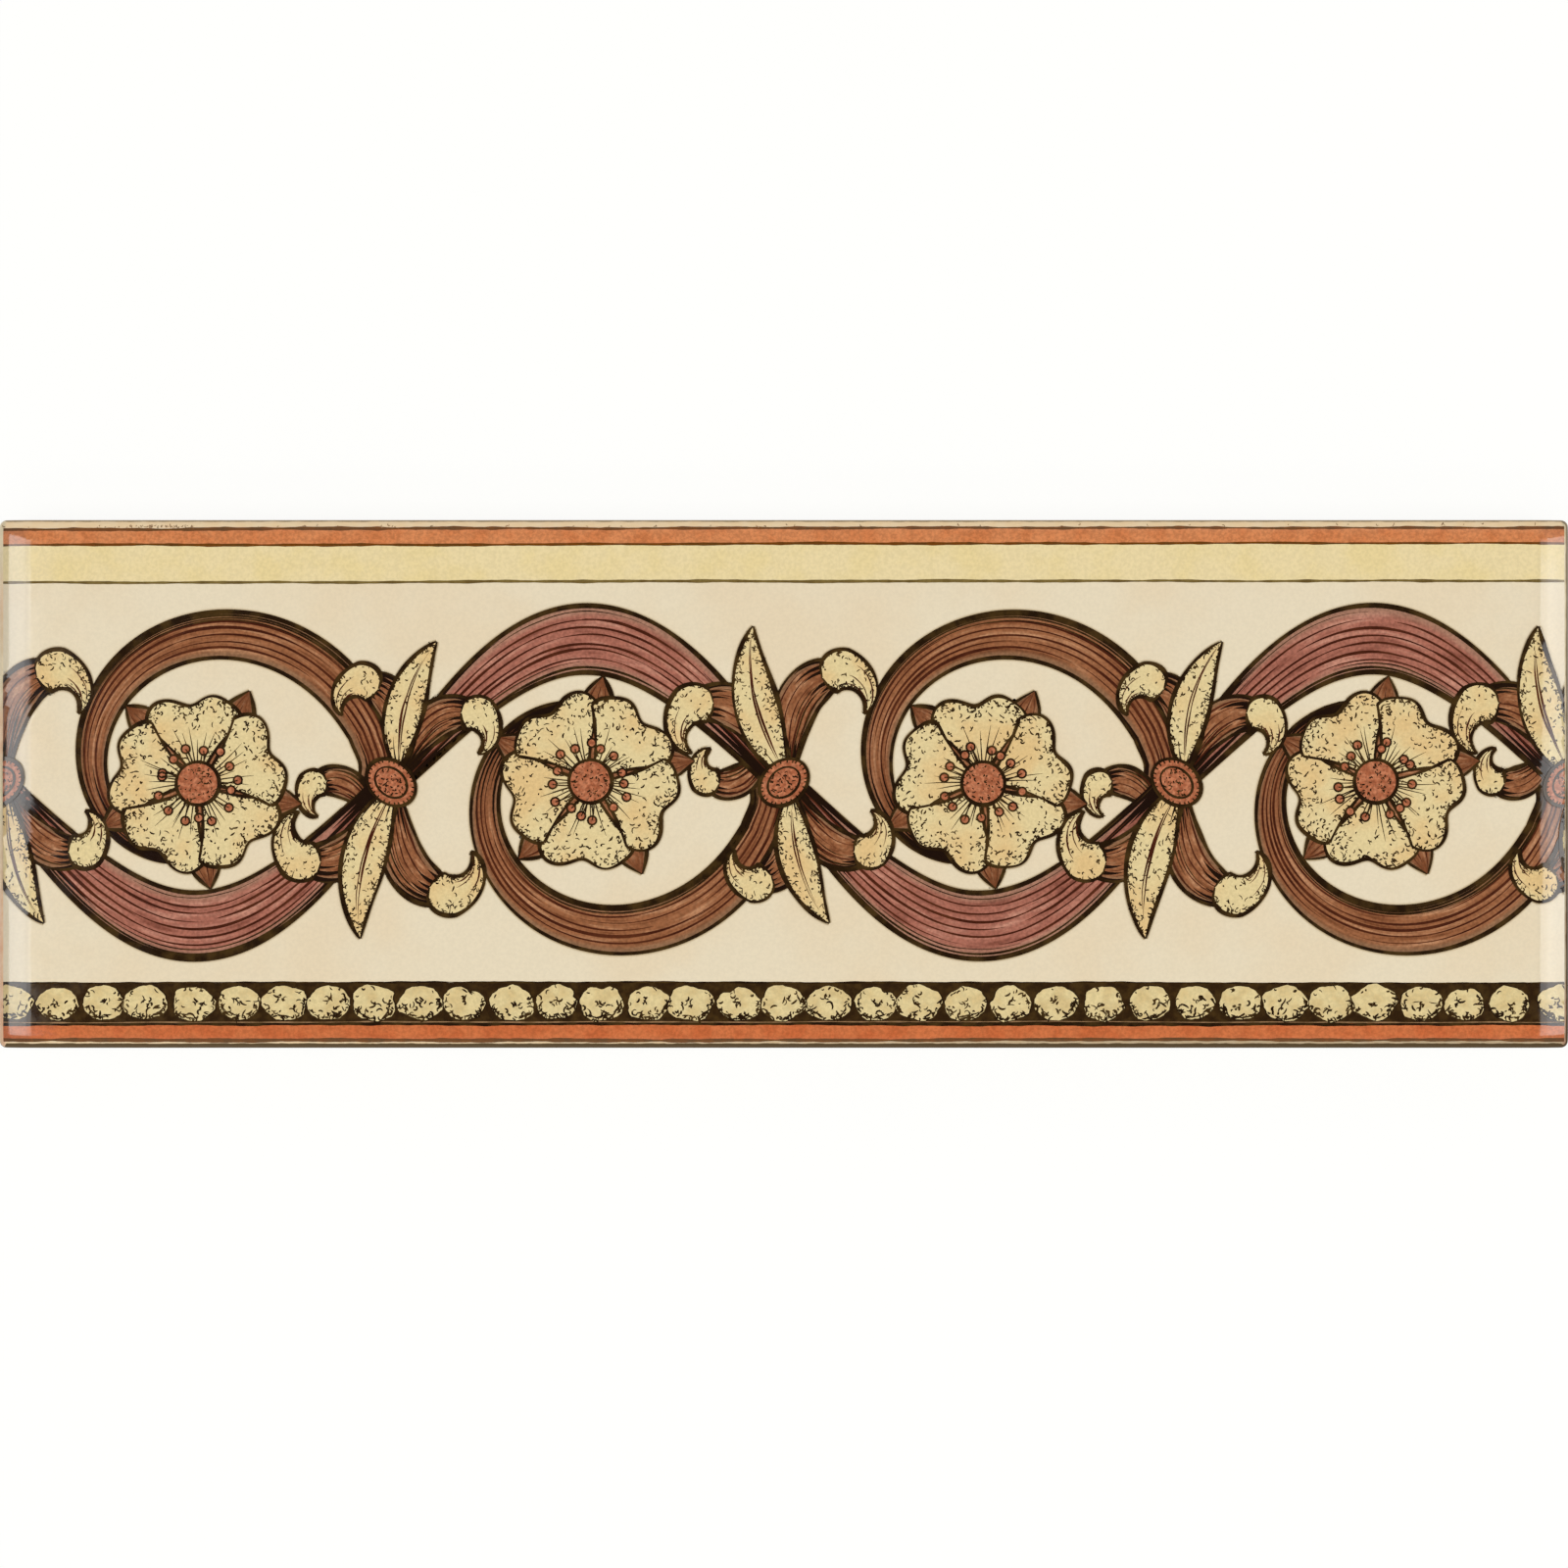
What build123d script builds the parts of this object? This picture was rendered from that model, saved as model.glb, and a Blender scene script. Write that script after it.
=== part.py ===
"""Glazed ceramic border tile, 152 by 51 mm, pressed and fired in one piece.

The show face is flat in the middle and rolls down to the four edges in a cushion, long at
the ends and short at the sides. The back has square keying pockets for the adhesive, in a
grid inside a plain margin. The tile lies on its back: the origin is the middle of the back,
+X runs along the border, +Y is the upper side of its pattern and +Z points out of the face.
Millimetres.
"""

from build123d import *

import os
from math import atan2, degrees

# Driving dimensions
tile_length = 152.0
tile_width = 51.0
tile_thickness = 7.0

corner_radius = 0.6  # plan corners of the pressed outline
rim_radius = 0.5  # glazed arris between the face and the edge walls
back_chamfer = 0.4  # arris of the back

end_cushion_run = 3.2  # how far in from an end the face starts to roll down
end_cushion_drop = 0.55  # how much lower the face is where it meets the end wall
side_cushion_run = 1.8
side_cushion_drop = 0.3

pocket_size = 10.2  # keying pockets, square at the back face
pocket_depth = 0.8
pocket_corner = 1.4
pocket_draft = 30.0  # lean of the pocket walls, in degrees
rib_width = 2.4  # rib between two pockets, at the back face
pocket_margin = 4.0  # plain margin between the pockets and the edges, at least

former_overturn = 1.0  # how much further the former of the face rolls past the edges, in degrees
former_overrun = 2.0  # how far it then runs on straight


def cushioned_line(half_span, run, drop, level=0):
    """Draws a flat at a level with an arc rolling down at each end; returns its outer ends.

    Each arc leaves the flat level, has dropped by the drop where the span ends, turns on a
    little and then goes on straight.
    """
    flat_end = half_span - run
    roll_radius = (run**2 + drop**2) / (2 * drop)
    roll_angle = 2 * degrees(atan2(drop, run)) + former_overturn
    Line((-flat_end, level), (flat_end, level))
    ends = []
    for side in (-1, 1):
        roll = JernArc((side * flat_end, level), (side, 0), roll_radius, -side * roll_angle)
        run_off = Line(roll @ 1, roll @ 1 + (roll % 1) * former_overrun)
        ends.append(run_off @ 1)
    return ends


def pocket_count(across):
    """How many pockets, with ribs between them, fit between the margins."""
    room = across - 2 * pocket_margin
    return int((room + rib_width) // (pocket_size + rib_width))


half_length = tile_length / 2
half_width = tile_width / 2
pocket_pitch = pocket_size + rib_width
former_height = end_cushion_drop + side_cushion_drop + 2 * former_overrun


def is_wall(face):
    """Tells whether a face stands upright."""
    return abs(face.normal_at(face.center()).Z) < 0.01


with BuildPart() as border_tile:
    # The pressed body
    with BuildSketch():
        RectangleRounded(tile_length, tile_width, corner_radius)
    extrude(amount=tile_thickness)

    # The face. The section of its former stays upright all along the lengthwise cushion line,
    # so the face's height is the flat's, less the end cushion's drop at that x, less the side
    # cushion's drop at that y.
    with BuildLine(Plane.XZ) as lengthwise:
        cushioned_line(half_length, end_cushion_run, end_cushion_drop, tile_thickness)
    former_path = lengthwise.wire()
    with BuildSketch(Plane(former_path @ 0, x_dir=(0, 1, 0), z_dir=(1, 0, 0))):
        with BuildLine():
            left, right = cushioned_line(half_width, side_cushion_run, side_cushion_drop)
            Polyline(left, (left.X, former_height), (right.X, former_height), right)
        make_face()
    sweep(path=former_path, normal=(1, 0, 0), mode=Mode.SUBTRACT)

    # The glazed arris round the face
    walls = border_tile.faces().filter_by(is_wall)
    rim = walls.edges().filter_by(lambda edge: edge.bounding_box().min.Z > tile_thickness / 2)
    fillet(rim, radius=rim_radius)

    # The arris of the back
    chamfer(border_tile.edges().group_by(Axis.Z)[0], length=back_chamfer)

    # The keying pockets in the back
    with BuildSketch():
        with GridLocations(pocket_pitch, pocket_pitch, pocket_count(tile_length), pocket_count(tile_width)):
            RectangleRounded(pocket_size, pocket_size, pocket_corner)
    extrude(amount=pocket_depth, taper=pocket_draft, mode=Mode.SUBTRACT)

border_tile.part.label = "border_tile"
os.makedirs("parts", exist_ok=True)
export_step(border_tile.part, "parts/border_tile.step")
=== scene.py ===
"""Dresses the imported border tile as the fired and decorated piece, and sets up its stage.

The pressed body keeps its shape and gets a bisque finish. A coat of glaze covers its face and
the upper part of its edge walls, and the print lies on the glaze: bands and keylines, a row of
beads, and a frieze of a running scroll with rosettes. Every colour of the print is a low pad and
every line of it a thin wedge-shaped ridge, laid in painter's order.

The print is drawn flat, in millimetres, with complex numbers as points: the real part runs along
the tile and the imaginary part across it. The meshes are in metres, as everything else is.
"""

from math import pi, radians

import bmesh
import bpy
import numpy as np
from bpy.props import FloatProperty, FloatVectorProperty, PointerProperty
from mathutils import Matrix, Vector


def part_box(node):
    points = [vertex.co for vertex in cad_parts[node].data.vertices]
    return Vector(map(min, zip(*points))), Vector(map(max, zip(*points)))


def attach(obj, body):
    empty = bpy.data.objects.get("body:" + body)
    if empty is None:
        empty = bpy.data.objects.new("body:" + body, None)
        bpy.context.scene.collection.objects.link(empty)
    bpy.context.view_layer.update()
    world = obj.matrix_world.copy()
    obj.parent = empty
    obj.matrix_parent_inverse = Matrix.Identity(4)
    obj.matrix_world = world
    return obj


bl_info = {
    "name": "Border Tile",
    "version": (1, 0, 0),
    "blender": (4, 5, 0),
    "location": "View3D > Sidebar > Border Tile",
    "description": "Glaze, printed bands, beads and scroll frieze for a ceramic border tile",
    "category": "Object",
}

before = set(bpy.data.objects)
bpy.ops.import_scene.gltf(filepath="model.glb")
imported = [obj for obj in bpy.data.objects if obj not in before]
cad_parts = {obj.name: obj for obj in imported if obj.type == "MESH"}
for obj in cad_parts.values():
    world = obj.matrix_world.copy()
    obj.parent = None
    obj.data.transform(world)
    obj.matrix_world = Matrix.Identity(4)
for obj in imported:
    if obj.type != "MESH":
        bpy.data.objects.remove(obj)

TILE = "border_tile"
BODY = "root"

MM = 0.001
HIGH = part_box(TILE)[1]
HALF_LENGTH = HIGH.x / MM
HALF_WIDTH = HIGH.y / MM
THICKNESS = HIGH.z / MM

LINING = 0.03  # how far the underside of the glaze lies inside the body, in millimetres
BLEED_REACH = 0.24  # how far ink has bled beside an outline, in millimetres
SIDE_STRIPS = 6  # strips of each side box

# Levels of the print, in layers above the glaze
SUNK = -2.0  # the undersides of all of it
BLEED_LEVEL = 0.25
BAND_LEVEL = 0.5
KEYLINE_LEVEL = 1.0
BEAD_LEVEL = 1.5
BRANCH_LEVEL = 2
HOLLOW_LEAF_LEVEL = 3
STEM_LEVEL = 5
SPRAY_LEVEL = 6
ROSETTE_LEVEL = 6.25
KNOB_LEVEL = 13

PLAN_MAP = "OFBake"  # the face seen from above, its undersides beside it
RUN_MAP = "run"  # the shares of the way along a shape and across it
EDGE_MAP = "edge"  # distance in from the outline of the tile, and along it, in millimetres


# Sizes and colours


def length(name, description, default):
    """A length that the user may change, given here in millimetres."""
    return FloatProperty(name=name, description=description, default=default * MM, unit="LENGTH")


def angle(name, description, default):
    """An angle that the user may change, given here in degrees."""
    return FloatProperty(name=name, description=description, default=radians(default), subtype="ANGLE")


def amount(name, description, default, subtype="NONE"):
    """A plain number that the user may change."""
    return FloatProperty(name=name, description=description, default=default, subtype=subtype)


def tone(name, description, red, green, blue):
    """A colour that the user may change, given here as display values from 0 to 255."""
    share = np.array((red, green, blue)) / 255
    linear = np.where(share <= 0.04045, share / 12.92, ((share + 0.055) / 1.055) ** 2.4)
    return FloatVectorProperty(
        name=name, description=description, default=linear.tolist(), subtype="COLOR", min=0, max=1
    )


class TileForm(bpy.types.PropertyGroup):
    """Shape of the face, as the body is pressed, and of the coats that lie on it."""

    end_run: length("End cushion run", "How far in from an end the face starts to roll down", 3.2)
    end_drop: length("End cushion drop", "How much lower the face is at an end", 0.55)
    side_run: length("Side cushion run", "How far in from a side the face starts to roll down", 1.8)
    side_drop: length("Side cushion drop", "How much lower the face is at a side", 0.3)
    corner_radius: length("Corner radius", "Radius of the outline's corners", 0.6)
    rim_radius: length("Rim radius", "Radius between the face and the edge walls", 0.5)
    glaze_coat: length("Glaze coat", "How thick the glaze stands on the body", 0.08)
    glaze_reach: length("Glaze reach", "How far down the edge walls the glaze runs", 3.9)
    glaze_wander: length("Glaze wander", "How uneven the lower edge of the glaze is", 0.45)
    # Widths of the line of painted shade along each side of the rim
    shade_line_foot: length("Shade line at foot", "Width of the dark line along the lower rim", 0.41)
    shade_line_top: length("Shade line at top", "Width of the dark line along the upper rim", 0.15)
    shade_line_left: length("Shade line at left end", "Width of the dark line along the left rim", 0.04)
    shade_line_right: length("Shade line at right end", "Width of the dark line along the right rim", 0.26)
    print_margin: length("Print margin", "Unprinted edge of the face at its ends", 0.38)
    print_step: length("Print step", "How much each layer of the print stands on the one below", 0.010)


class BandHeights(bpy.types.PropertyGroup):
    """Where the bands meet, measured up from the middle of the tile."""

    print_top: length("Print top", "Upper edge of the print", 24.76)
    stripe_foot: length("Stripe foot", "Lower edge of the upper stripe", 23.23)
    cream_foot: length("Cream foot", "Lower edge of the cream band", 19.60)
    bead_top: length("Bead top", "Upper edge of the dark band of beads", -19.22)
    bead_foot: length("Bead foot", "Lower edge of the dark band of beads", -23.2)
    print_foot: length("Print foot", "Lower edge of the print", -24.79)
    bead_pitch: length("Bead pitch", "Distance from bead to bead", 4.4)
    bead_width: length("Bead width", "How wide a bead is", 4.2)
    bead_height: length("Bead height", "How high a bead is", 3.45)
    skew: length("Skew", "How much lower the upper edge of the print is on the left", 0.19)


class ScrollForm(bpy.types.PropertyGroup):
    """The running scroll: a wave of stems, with a branch, a rosette and leaves in each hollow."""

    half_wave: length("Half wave", "Length of one hollow of the scroll", 38.0)
    wave_height: length("Wave height", "How far the stem swings from its middle line", 13.9)
    middle_line: length("Middle line", "Height of the stem's middle line", 0.15)
    stem_neck: length("Stem neck", "Half of the stem's width at the knobs", 1.35)
    stem_swell: length("Stem swell", "How much wider the stem is half way between them", 1.9)
    rosette_radius: length("Rosette radius", "From the middle of a rosette to its rim", 8.7)
    knob_radius: length("Knob radius", "Half of a knob's length", 2.6)


class PrintTones(bpy.types.PropertyGroup):
    """Colours of the body, the glaze and the print."""

    bisque: tone("Bisque", "Fired body, unglazed", 214, 203, 182)
    bisque_stain: tone("Bisque stain", "Speckles and kiln marks of the body", 168, 148, 118)
    glaze: tone("Glaze", "Glaze beside the print, along the sides", 225, 196, 153)
    # Partly painted shade: the glaze at the ends is greyer and darker, as the ends lie in shade
    end_glaze_with_shade: tone("Glaze at the ends, with painted shade", "Glaze beside the print, at the ends", 200, 183, 149)
    glaze_stain: tone("Glaze stain", "Patches of that glaze that took up colour", 201, 157, 124)
    # Painted shade: the dark colour of the line along the rim and of the glaze along the foot
    rim_shade: tone("Rim shade", "Painted shade along the rim and the foot", 66, 45, 3)
    field: tone("Field", "Ground of the frieze", 229, 215, 186)
    cream: tone("Cream", "Band above the frieze", 230, 211, 162)
    cream_deep: tone("Deep cream", "Washes in the cream band", 228, 207, 149)
    stripe: tone("Stripe", "Upper stripe", 206, 131, 83)
    stripe_deep: tone("Deep stripe", "Washes in the upper stripe", 198, 118, 70)
    lower_stripe: tone("Lower stripe", "Lower stripe", 199, 111, 65)
    lower_stripe_deep: tone("Deep lower stripe", "Washes in the lower stripe", 190, 98, 54)
    keyline: tone("Keyline", "Lines along the stripes", 108, 60, 12)
    olive: tone("Olive keyline", "Line under the cream band", 120, 100, 54)
    bead_ground: tone("Bead ground", "Dark band behind the beads", 46, 28, 8)
    bead: tone("Bead", "Beads", 221, 201, 148)
    bead_shade: tone("Bead shade", "Shaded parts of the beads", 205, 179, 124)
    seam: tone("Seam", "Thin broken line under the beads", 152, 118, 84)
    rose: tone("Rose", "Stems", 163, 102, 84)
    rose_light: tone("Light rose", "Lit streaks of the stems", 190, 134, 113)
    rose_dark: tone("Dark rose", "Ends and shaded streaks of the stems", 112, 60, 45)
    rose_edge: tone("Rose edge", "Thin colour along the stems' sides", 158, 118, 96)
    sienna: tone("Sienna", "Branches and outer leaves", 146, 93, 60)
    sienna_light: tone("Light sienna", "Lit streaks of the branches", 184, 133, 96)
    sienna_dark: tone("Dark sienna", "Ends and shaded streaks of the branches", 97, 50, 25)
    sienna_edge: tone("Sienna edge", "Thin colour along the branches' sides", 134, 100, 72)
    petal: tone("Petal", "Petals and turned leaf tips", 223, 203, 151)
    petal_warm: tone("Warm petal", "Washes in the petals", 221, 184, 125)
    clay: tone("Clay", "Knobs and buttons", 160, 91, 60)
    clay_light: tone("Light clay", "Grain of the knobs and buttons", 194, 125, 90)
    ink: tone("Ink", "Outlines and stipple", 34, 18, 3)
    ink_thin: tone("Thin ink", "Outlines where the ink is thin", 80, 58, 24)
    russet: tone("Russet ink", "Lines drawn along the stems, branches and leaves", 64, 25, 10)
    russet_thin: tone("Thin russet ink", "Those lines where the ink is thin", 98, 50, 27)
    shade: tone("Shade", "Dark fans at the ends of the shapes", 27, 11, 4)
    bleed: tone("Bleed", "Ground of the frieze right beside an outline", 176, 154, 116)


class StageSetup(bpy.types.PropertyGroup):
    """Camera, lamps and floor."""

    lens: amount("Lens", "Focal length, in millimetres", 100.0)
    sensor: amount("Sensor", "Sensor width, in millimetres", 36.0)
    aside: length("Aside", "How far the eye stands to the right of the tile's middle", 0.02)
    lamp_height: length("Lamp height", "Height of the soft boxes", 800.0)
    left_lead: angle("Left box lead", "How far beyond what a level face mirrors the left box starts", 1.2)
    left_end: angle("Left box end", "Angle from upright where the left box ends, from the tile's end", 37)
    left_glow: amount("Left glow", "Radiance of the left box", 4.6)
    right_lead: angle("Right box lead", "How far beyond what a level face mirrors the right box starts", 5)
    right_end: angle("Right box end", "Angle from upright where the right box ends, from the tile's end", 50)
    right_glow: amount("Right glow", "Radiance of the right box", 4.2)
    lamp_foot: length("Lamp foot", "How far down the side boxes reach", 270.0)
    lamp_top_inner: length("Lamp top, inside", "How far up the side boxes reach where they start", 62.0)
    lamp_top_outer: length("Lamp top, outside", "How far up the side boxes reach where they end", 240.0)
    front_start: angle("Front box start", "Angle from upright where the front box starts", 35)
    front_end: angle("Front box end", "Angle from upright where the front box ends", 43)
    front_width: length("Front box width", "How wide the front box is", 1000.0)
    front_glow: amount("Front glow", "Radiance of the front box", 2.0)
    sky: amount("Sky", "Strength of the surroundings", 0.62)
    sky_overhead: amount("Sky overhead", "Strength of the surroundings straight above", 0.06)
    overhead_start: angle("Overhead start", "Angle from upright where the sky is as dim as overhead", 15)
    overhead_end: angle("Overhead end", "Angle from upright where the sky has its full strength", 28)
    floor_size: length("Floor size", "Side of the floor", 40000.0)
    floor_gap: length("Floor gap", "How far the floor lies below the tile, so that they share no plane", 0.05)
    floor_lap: length("Floor lap", "How far the floor reaches in under the tile's edges", 1.07)
    floor_glow: amount("Floor glow", "Share of plain white that the eye sees in the floor", 0.88, "FACTOR")
    floor_tone: tone("Floor", "Colour of the floor", 255, 255, 253)


# Curves in the plane


def even_steps(curve, count):
    """The curve at so many points, evenly spaced along its length."""
    travelled = np.concatenate([[0], np.cumsum(abs(np.diff(curve)))])
    return np.interp(np.linspace(0, travelled[-1], count), travelled, curve)


def through(points, count):
    """A smooth curve through the points: between two of them it is the cubic whose slope at each
    point is half of the way from the point before to the point after."""
    points = np.asarray(points, complex)
    padded = np.concatenate([[2 * points[0] - points[1]], points, [2 * points[-1] - points[-2]]])
    before, start, end, after = padded[:-3], padded[1:-2], padded[2:-1], padded[3:]
    t = np.linspace(0, 1, 24, endpoint=False)[:, None]
    square = (2 * before - 5 * start + 4 * end - after) * t**2
    cube = (3 * start - before - 3 * end + after) * t**3
    curve = (2 * start + (end - before) * t + square + cube) / 2
    return even_steps(np.append(curve.T.ravel(), points[-1]), count)


def smooth(u, widths):
    """Half-widths at the shares u of a length, running smoothly through evenly spaced ones."""
    knots = through(np.linspace(0, 1, len(widths)) + 1j * np.asarray(widths, float), 200)
    return np.maximum(np.interp(u, knots.real, knots.imag), 0.03)


def drop_shape(u, peak, sharp):
    """Half-width of a drop: a quarter circle up to the peak, then a power of what is left."""
    rise = np.sqrt(np.clip(1 - (1 - u / peak) ** 2, 0, 1))
    fall = np.clip((1 - u) / (1 - peak), 0, 1) ** sharp
    return np.maximum(np.where(u < peak, rise, fall), 0.02)


def taper(u, start=0.5, end=0.5):
    """One along a stroke, falling away over its first and last shares."""
    return np.clip(u / start, 0, 1) ** 0.6 * np.clip((1 - u) / end, 0, 1) ** 0.6


def turning(base, heading, reach, curl, power=1.6, count=90):
    """A line that sets off along a heading; it has turned by the curl times s to the power at the
    share s of its length."""
    direction = heading + curl * np.linspace(0, 1, count) ** power
    steps = np.exp(0.5j * (direction[:-1] + direction[1:]))
    return base + reach * np.concatenate([[0], np.cumsum(steps)]) / (count - 1)


def disc_grid(count):
    """A grid over the unit disc: the square's point (u, v) moves to u times the root of 1 - v²/2
    and v times the root of 1 - u²/2."""
    share = np.linspace(-1, 1, count)
    u, v = np.meshgrid(share, share, indexing="ij")
    return u * np.sqrt(1 - v**2 / 2) + 1j * v * np.sqrt(1 - u**2 / 2)


class Blade:
    """A long shape: its point (t, v) lies v half-widths to the left of its middle line at t."""

    def __init__(self, middle, left, right=None):
        count = len(middle)
        along = np.gradient(middle)
        self.share = np.linspace(0, 1, count)
        self.middle = middle
        self.normal = 1j * along / abs(along)
        self.left = np.broadcast_to(left, (count,))
        self.right = np.broadcast_to(left if right is None else right, (count,))
        self.length = abs(np.diff(middle)).sum()

    def at(self, t, v):
        """The points (t, v)."""
        t, v = np.broadcast_arrays(np.asarray(t, float), np.asarray(v, float))
        sides = np.interp(t, self.share, self.left), np.interp(t, self.share, self.right)
        half = np.where(v > 0, *sides)
        return np.interp(t, self.share, self.middle) + np.interp(t, self.share, self.normal) * v * half

    def grid(self, columns=7):
        """Points over the whole shape, in rows across it."""
        rows = max(26, int(self.length * 1.7))
        return self.at(np.linspace(0, 1, rows)[:, None], np.linspace(-1, 1, columns))


# Heights on the face


def roll_down(distance, run, drop):
    """How far the face has dropped at a distance beyond the flat: an arc that leaves it level and
    has dropped by the drop after the run."""
    radius = (run**2 + drop**2) / (2 * drop)
    return radius - np.sqrt(radius**2 - np.clip(distance, 0, run) ** 2)


def face_height(points):
    """Height of the pressed face: the flat's, less what each of the two cushions takes off."""
    form = bpy.context.scene.tile_form
    end_run, end_drop = form.end_run / MM, form.end_drop / MM
    side_run, side_drop = form.side_run / MM, form.side_drop / MM
    ends = roll_down(abs(points.real) - (HALF_LENGTH - end_run), end_run, end_drop)
    sides = roll_down(abs(points.imag) - (HALF_WIDTH - side_run), side_run, side_drop)
    return THICKNESS - ends - sides


def lifted(points, level):
    """The points in space, so many layers of print above the glaze.

    Over the end cushions the layers are up to twice as thick, so that the straight pieces of a
    line stay above the curved ground.
    """
    form = bpy.context.scene.tile_form
    beyond = abs(points.real) - (HALF_LENGTH - form.end_run / MM)
    thicker = 1 + np.clip(beyond / (form.end_run / MM), 0, 1)
    height = face_height(points) + form.glaze_coat / MM + form.print_step / MM * level * thicker
    return np.stack([points.real, points.imag, height], -1)


def on_plan(points, underside=False):
    """Where the points lie in the plan map: the face in its lower half, undersides in the upper."""
    across = (points.real / HALF_LENGTH + 1) / 2
    up = (points.imag / HALF_WIDTH + 1) / 2
    return np.stack([0.01 + 0.98 * across, 0.01 + 0.48 * up + 0.5 * underside], -1)


# Meshes


def make_piece(name, points, corners, counts, maps, material):
    """Puts a mesh in the scene as a piece of the tile: points in millimetres, the faces' corners
    one after another, how many corners each face has, and the maps' values at each corner."""
    mesh = bpy.data.meshes.new(name)
    mesh.vertices.add(len(points))
    mesh.vertices.foreach_set("co", (points * MM).ravel())
    mesh.loops.add(len(corners))
    mesh.loops.foreach_set("vertex_index", corners)
    mesh.polygons.add(len(counts))
    mesh.polygons.foreach_set("loop_start", np.cumsum(counts) - counts)
    mesh.update(calc_edges=True)
    for title, values in maps.items():
        layer = mesh.uv_layers.new(name=title)
        layer.data.foreach_set("uv", values.ravel())
    mesh.validate()
    mesh.shade_smooth()
    mesh.set_sharp_from_angle(angle=radians(40))
    mesh.materials.append(material)
    piece = bpy.data.objects.new(name, mesh)
    bpy.context.scene.collection.objects.link(piece)
    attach(piece, BODY)
    return piece


def trim_ends(piece):
    """Cuts a piece of print off at both ends of the printed face, and closes the cuts."""
    limit = HALF_LENGTH * MM - bpy.context.scene.tile_form.print_margin
    work = bmesh.new()
    work.from_mesh(piece.data)
    for side in (-1, 1):
        everything = work.verts[:] + work.edges[:] + work.faces[:]
        cut = bmesh.ops.bisect_plane(
            work, geom=everything, plane_co=(side * limit, 0, 0), plane_no=(side, 0, 0), clear_outer=True
        )
        rims = [item for item in cut["geom_cut"] if isinstance(item, bmesh.types.BMEdge)]
        lids = bmesh.ops.holes_fill(work, edges=rims, sides=0)["faces"]
        for layer in work.loops.layers.uv.values():
            for corner in (corner for lid in lids for corner in lid.loops):
                beside = [other for other in corner.vert.link_loops if other.face not in lids]
                if beside:
                    corner[layer].uv = beside[0][layer].uv
    work.to_mesh(piece.data)
    work.free()


EVERY = slice(None)
# The rims of a grid: each rim, the line beside it, and the way that the faces of its wall turn
RIMS = (
    ((EVERY, 0), (EVERY, 1), -1), ((EVERY, -1), (EVERY, -2), 1),
    ((0, EVERY), (1, EVERY), 1), ((-1, EVERY), (-2, EVERY), -1),
)


def quads(*corners):
    """Four-cornered faces, from one array of points for each corner."""
    return np.stack(corners, -1).reshape(-1, 4)


def tiles(grid):
    """The faces of a grid, that turn from its rows to its columns."""
    return quads(grid[:-1, :-1], grid[1:, :-1], grid[1:, 1:], grid[:-1, 1:])


def strip(first, second):
    """The faces between two lines of points."""
    return quads(first[:-1], first[1:], second[1:], second[:-1])


def lay_films(name, films, material):
    """Closed pads, one for each film of colour.

    A film is a grid of points in rows across it, and a level. Its pad is the grid lifted to the
    level, the same grid sunk in the glaze as its underside, and walls between their rims, which
    take the colours of the line beside the rim.
    """
    points, faces, plan, run = [], [], [], []
    start = 0
    for grid, level in films:
        along, across = np.gradient(grid)
        if (along.conj() * across).imag.sum() < 0:
            grid = grid[:, ::-1]
        top = start + np.arange(grid.size).reshape(grid.shape)
        low = top + grid.size
        start += 2 * grid.size
        points += [lifted(grid.ravel(), level), lifted(grid.ravel(), SUNK)]
        travelled = np.cumsum(abs(np.gradient(grid[:, grid.shape[1] // 2])))
        share = (travelled / travelled[-1])[:, None] + 1j * np.linspace(0, 1, grid.shape[1])
        faces += [tiles(top), tiles(low)[:, ::-1]]
        plan += [on_plan(tiles(grid)), on_plan(tiles(grid)[:, ::-1], True)]
        run += [tiles(share), tiles(share)[:, ::-1]]
        for rim, beside, turn in RIMS:
            faces.append(strip(top[rim], low[rim])[:, ::turn])
            plan.append(on_plan(strip(grid[rim], grid[beside])[:, ::turn]))
            run.append(strip(share[rim], share[beside])[:, ::turn])
    faces, run = np.concatenate(faces), np.concatenate(run)
    maps = {PLAN_MAP: np.concatenate(plan), RUN_MAP: np.stack([run.real, run.imag], -1)}
    return make_piece(name, np.concatenate(points), faces.ravel(), np.full(len(faces), 4), maps, material)


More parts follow.
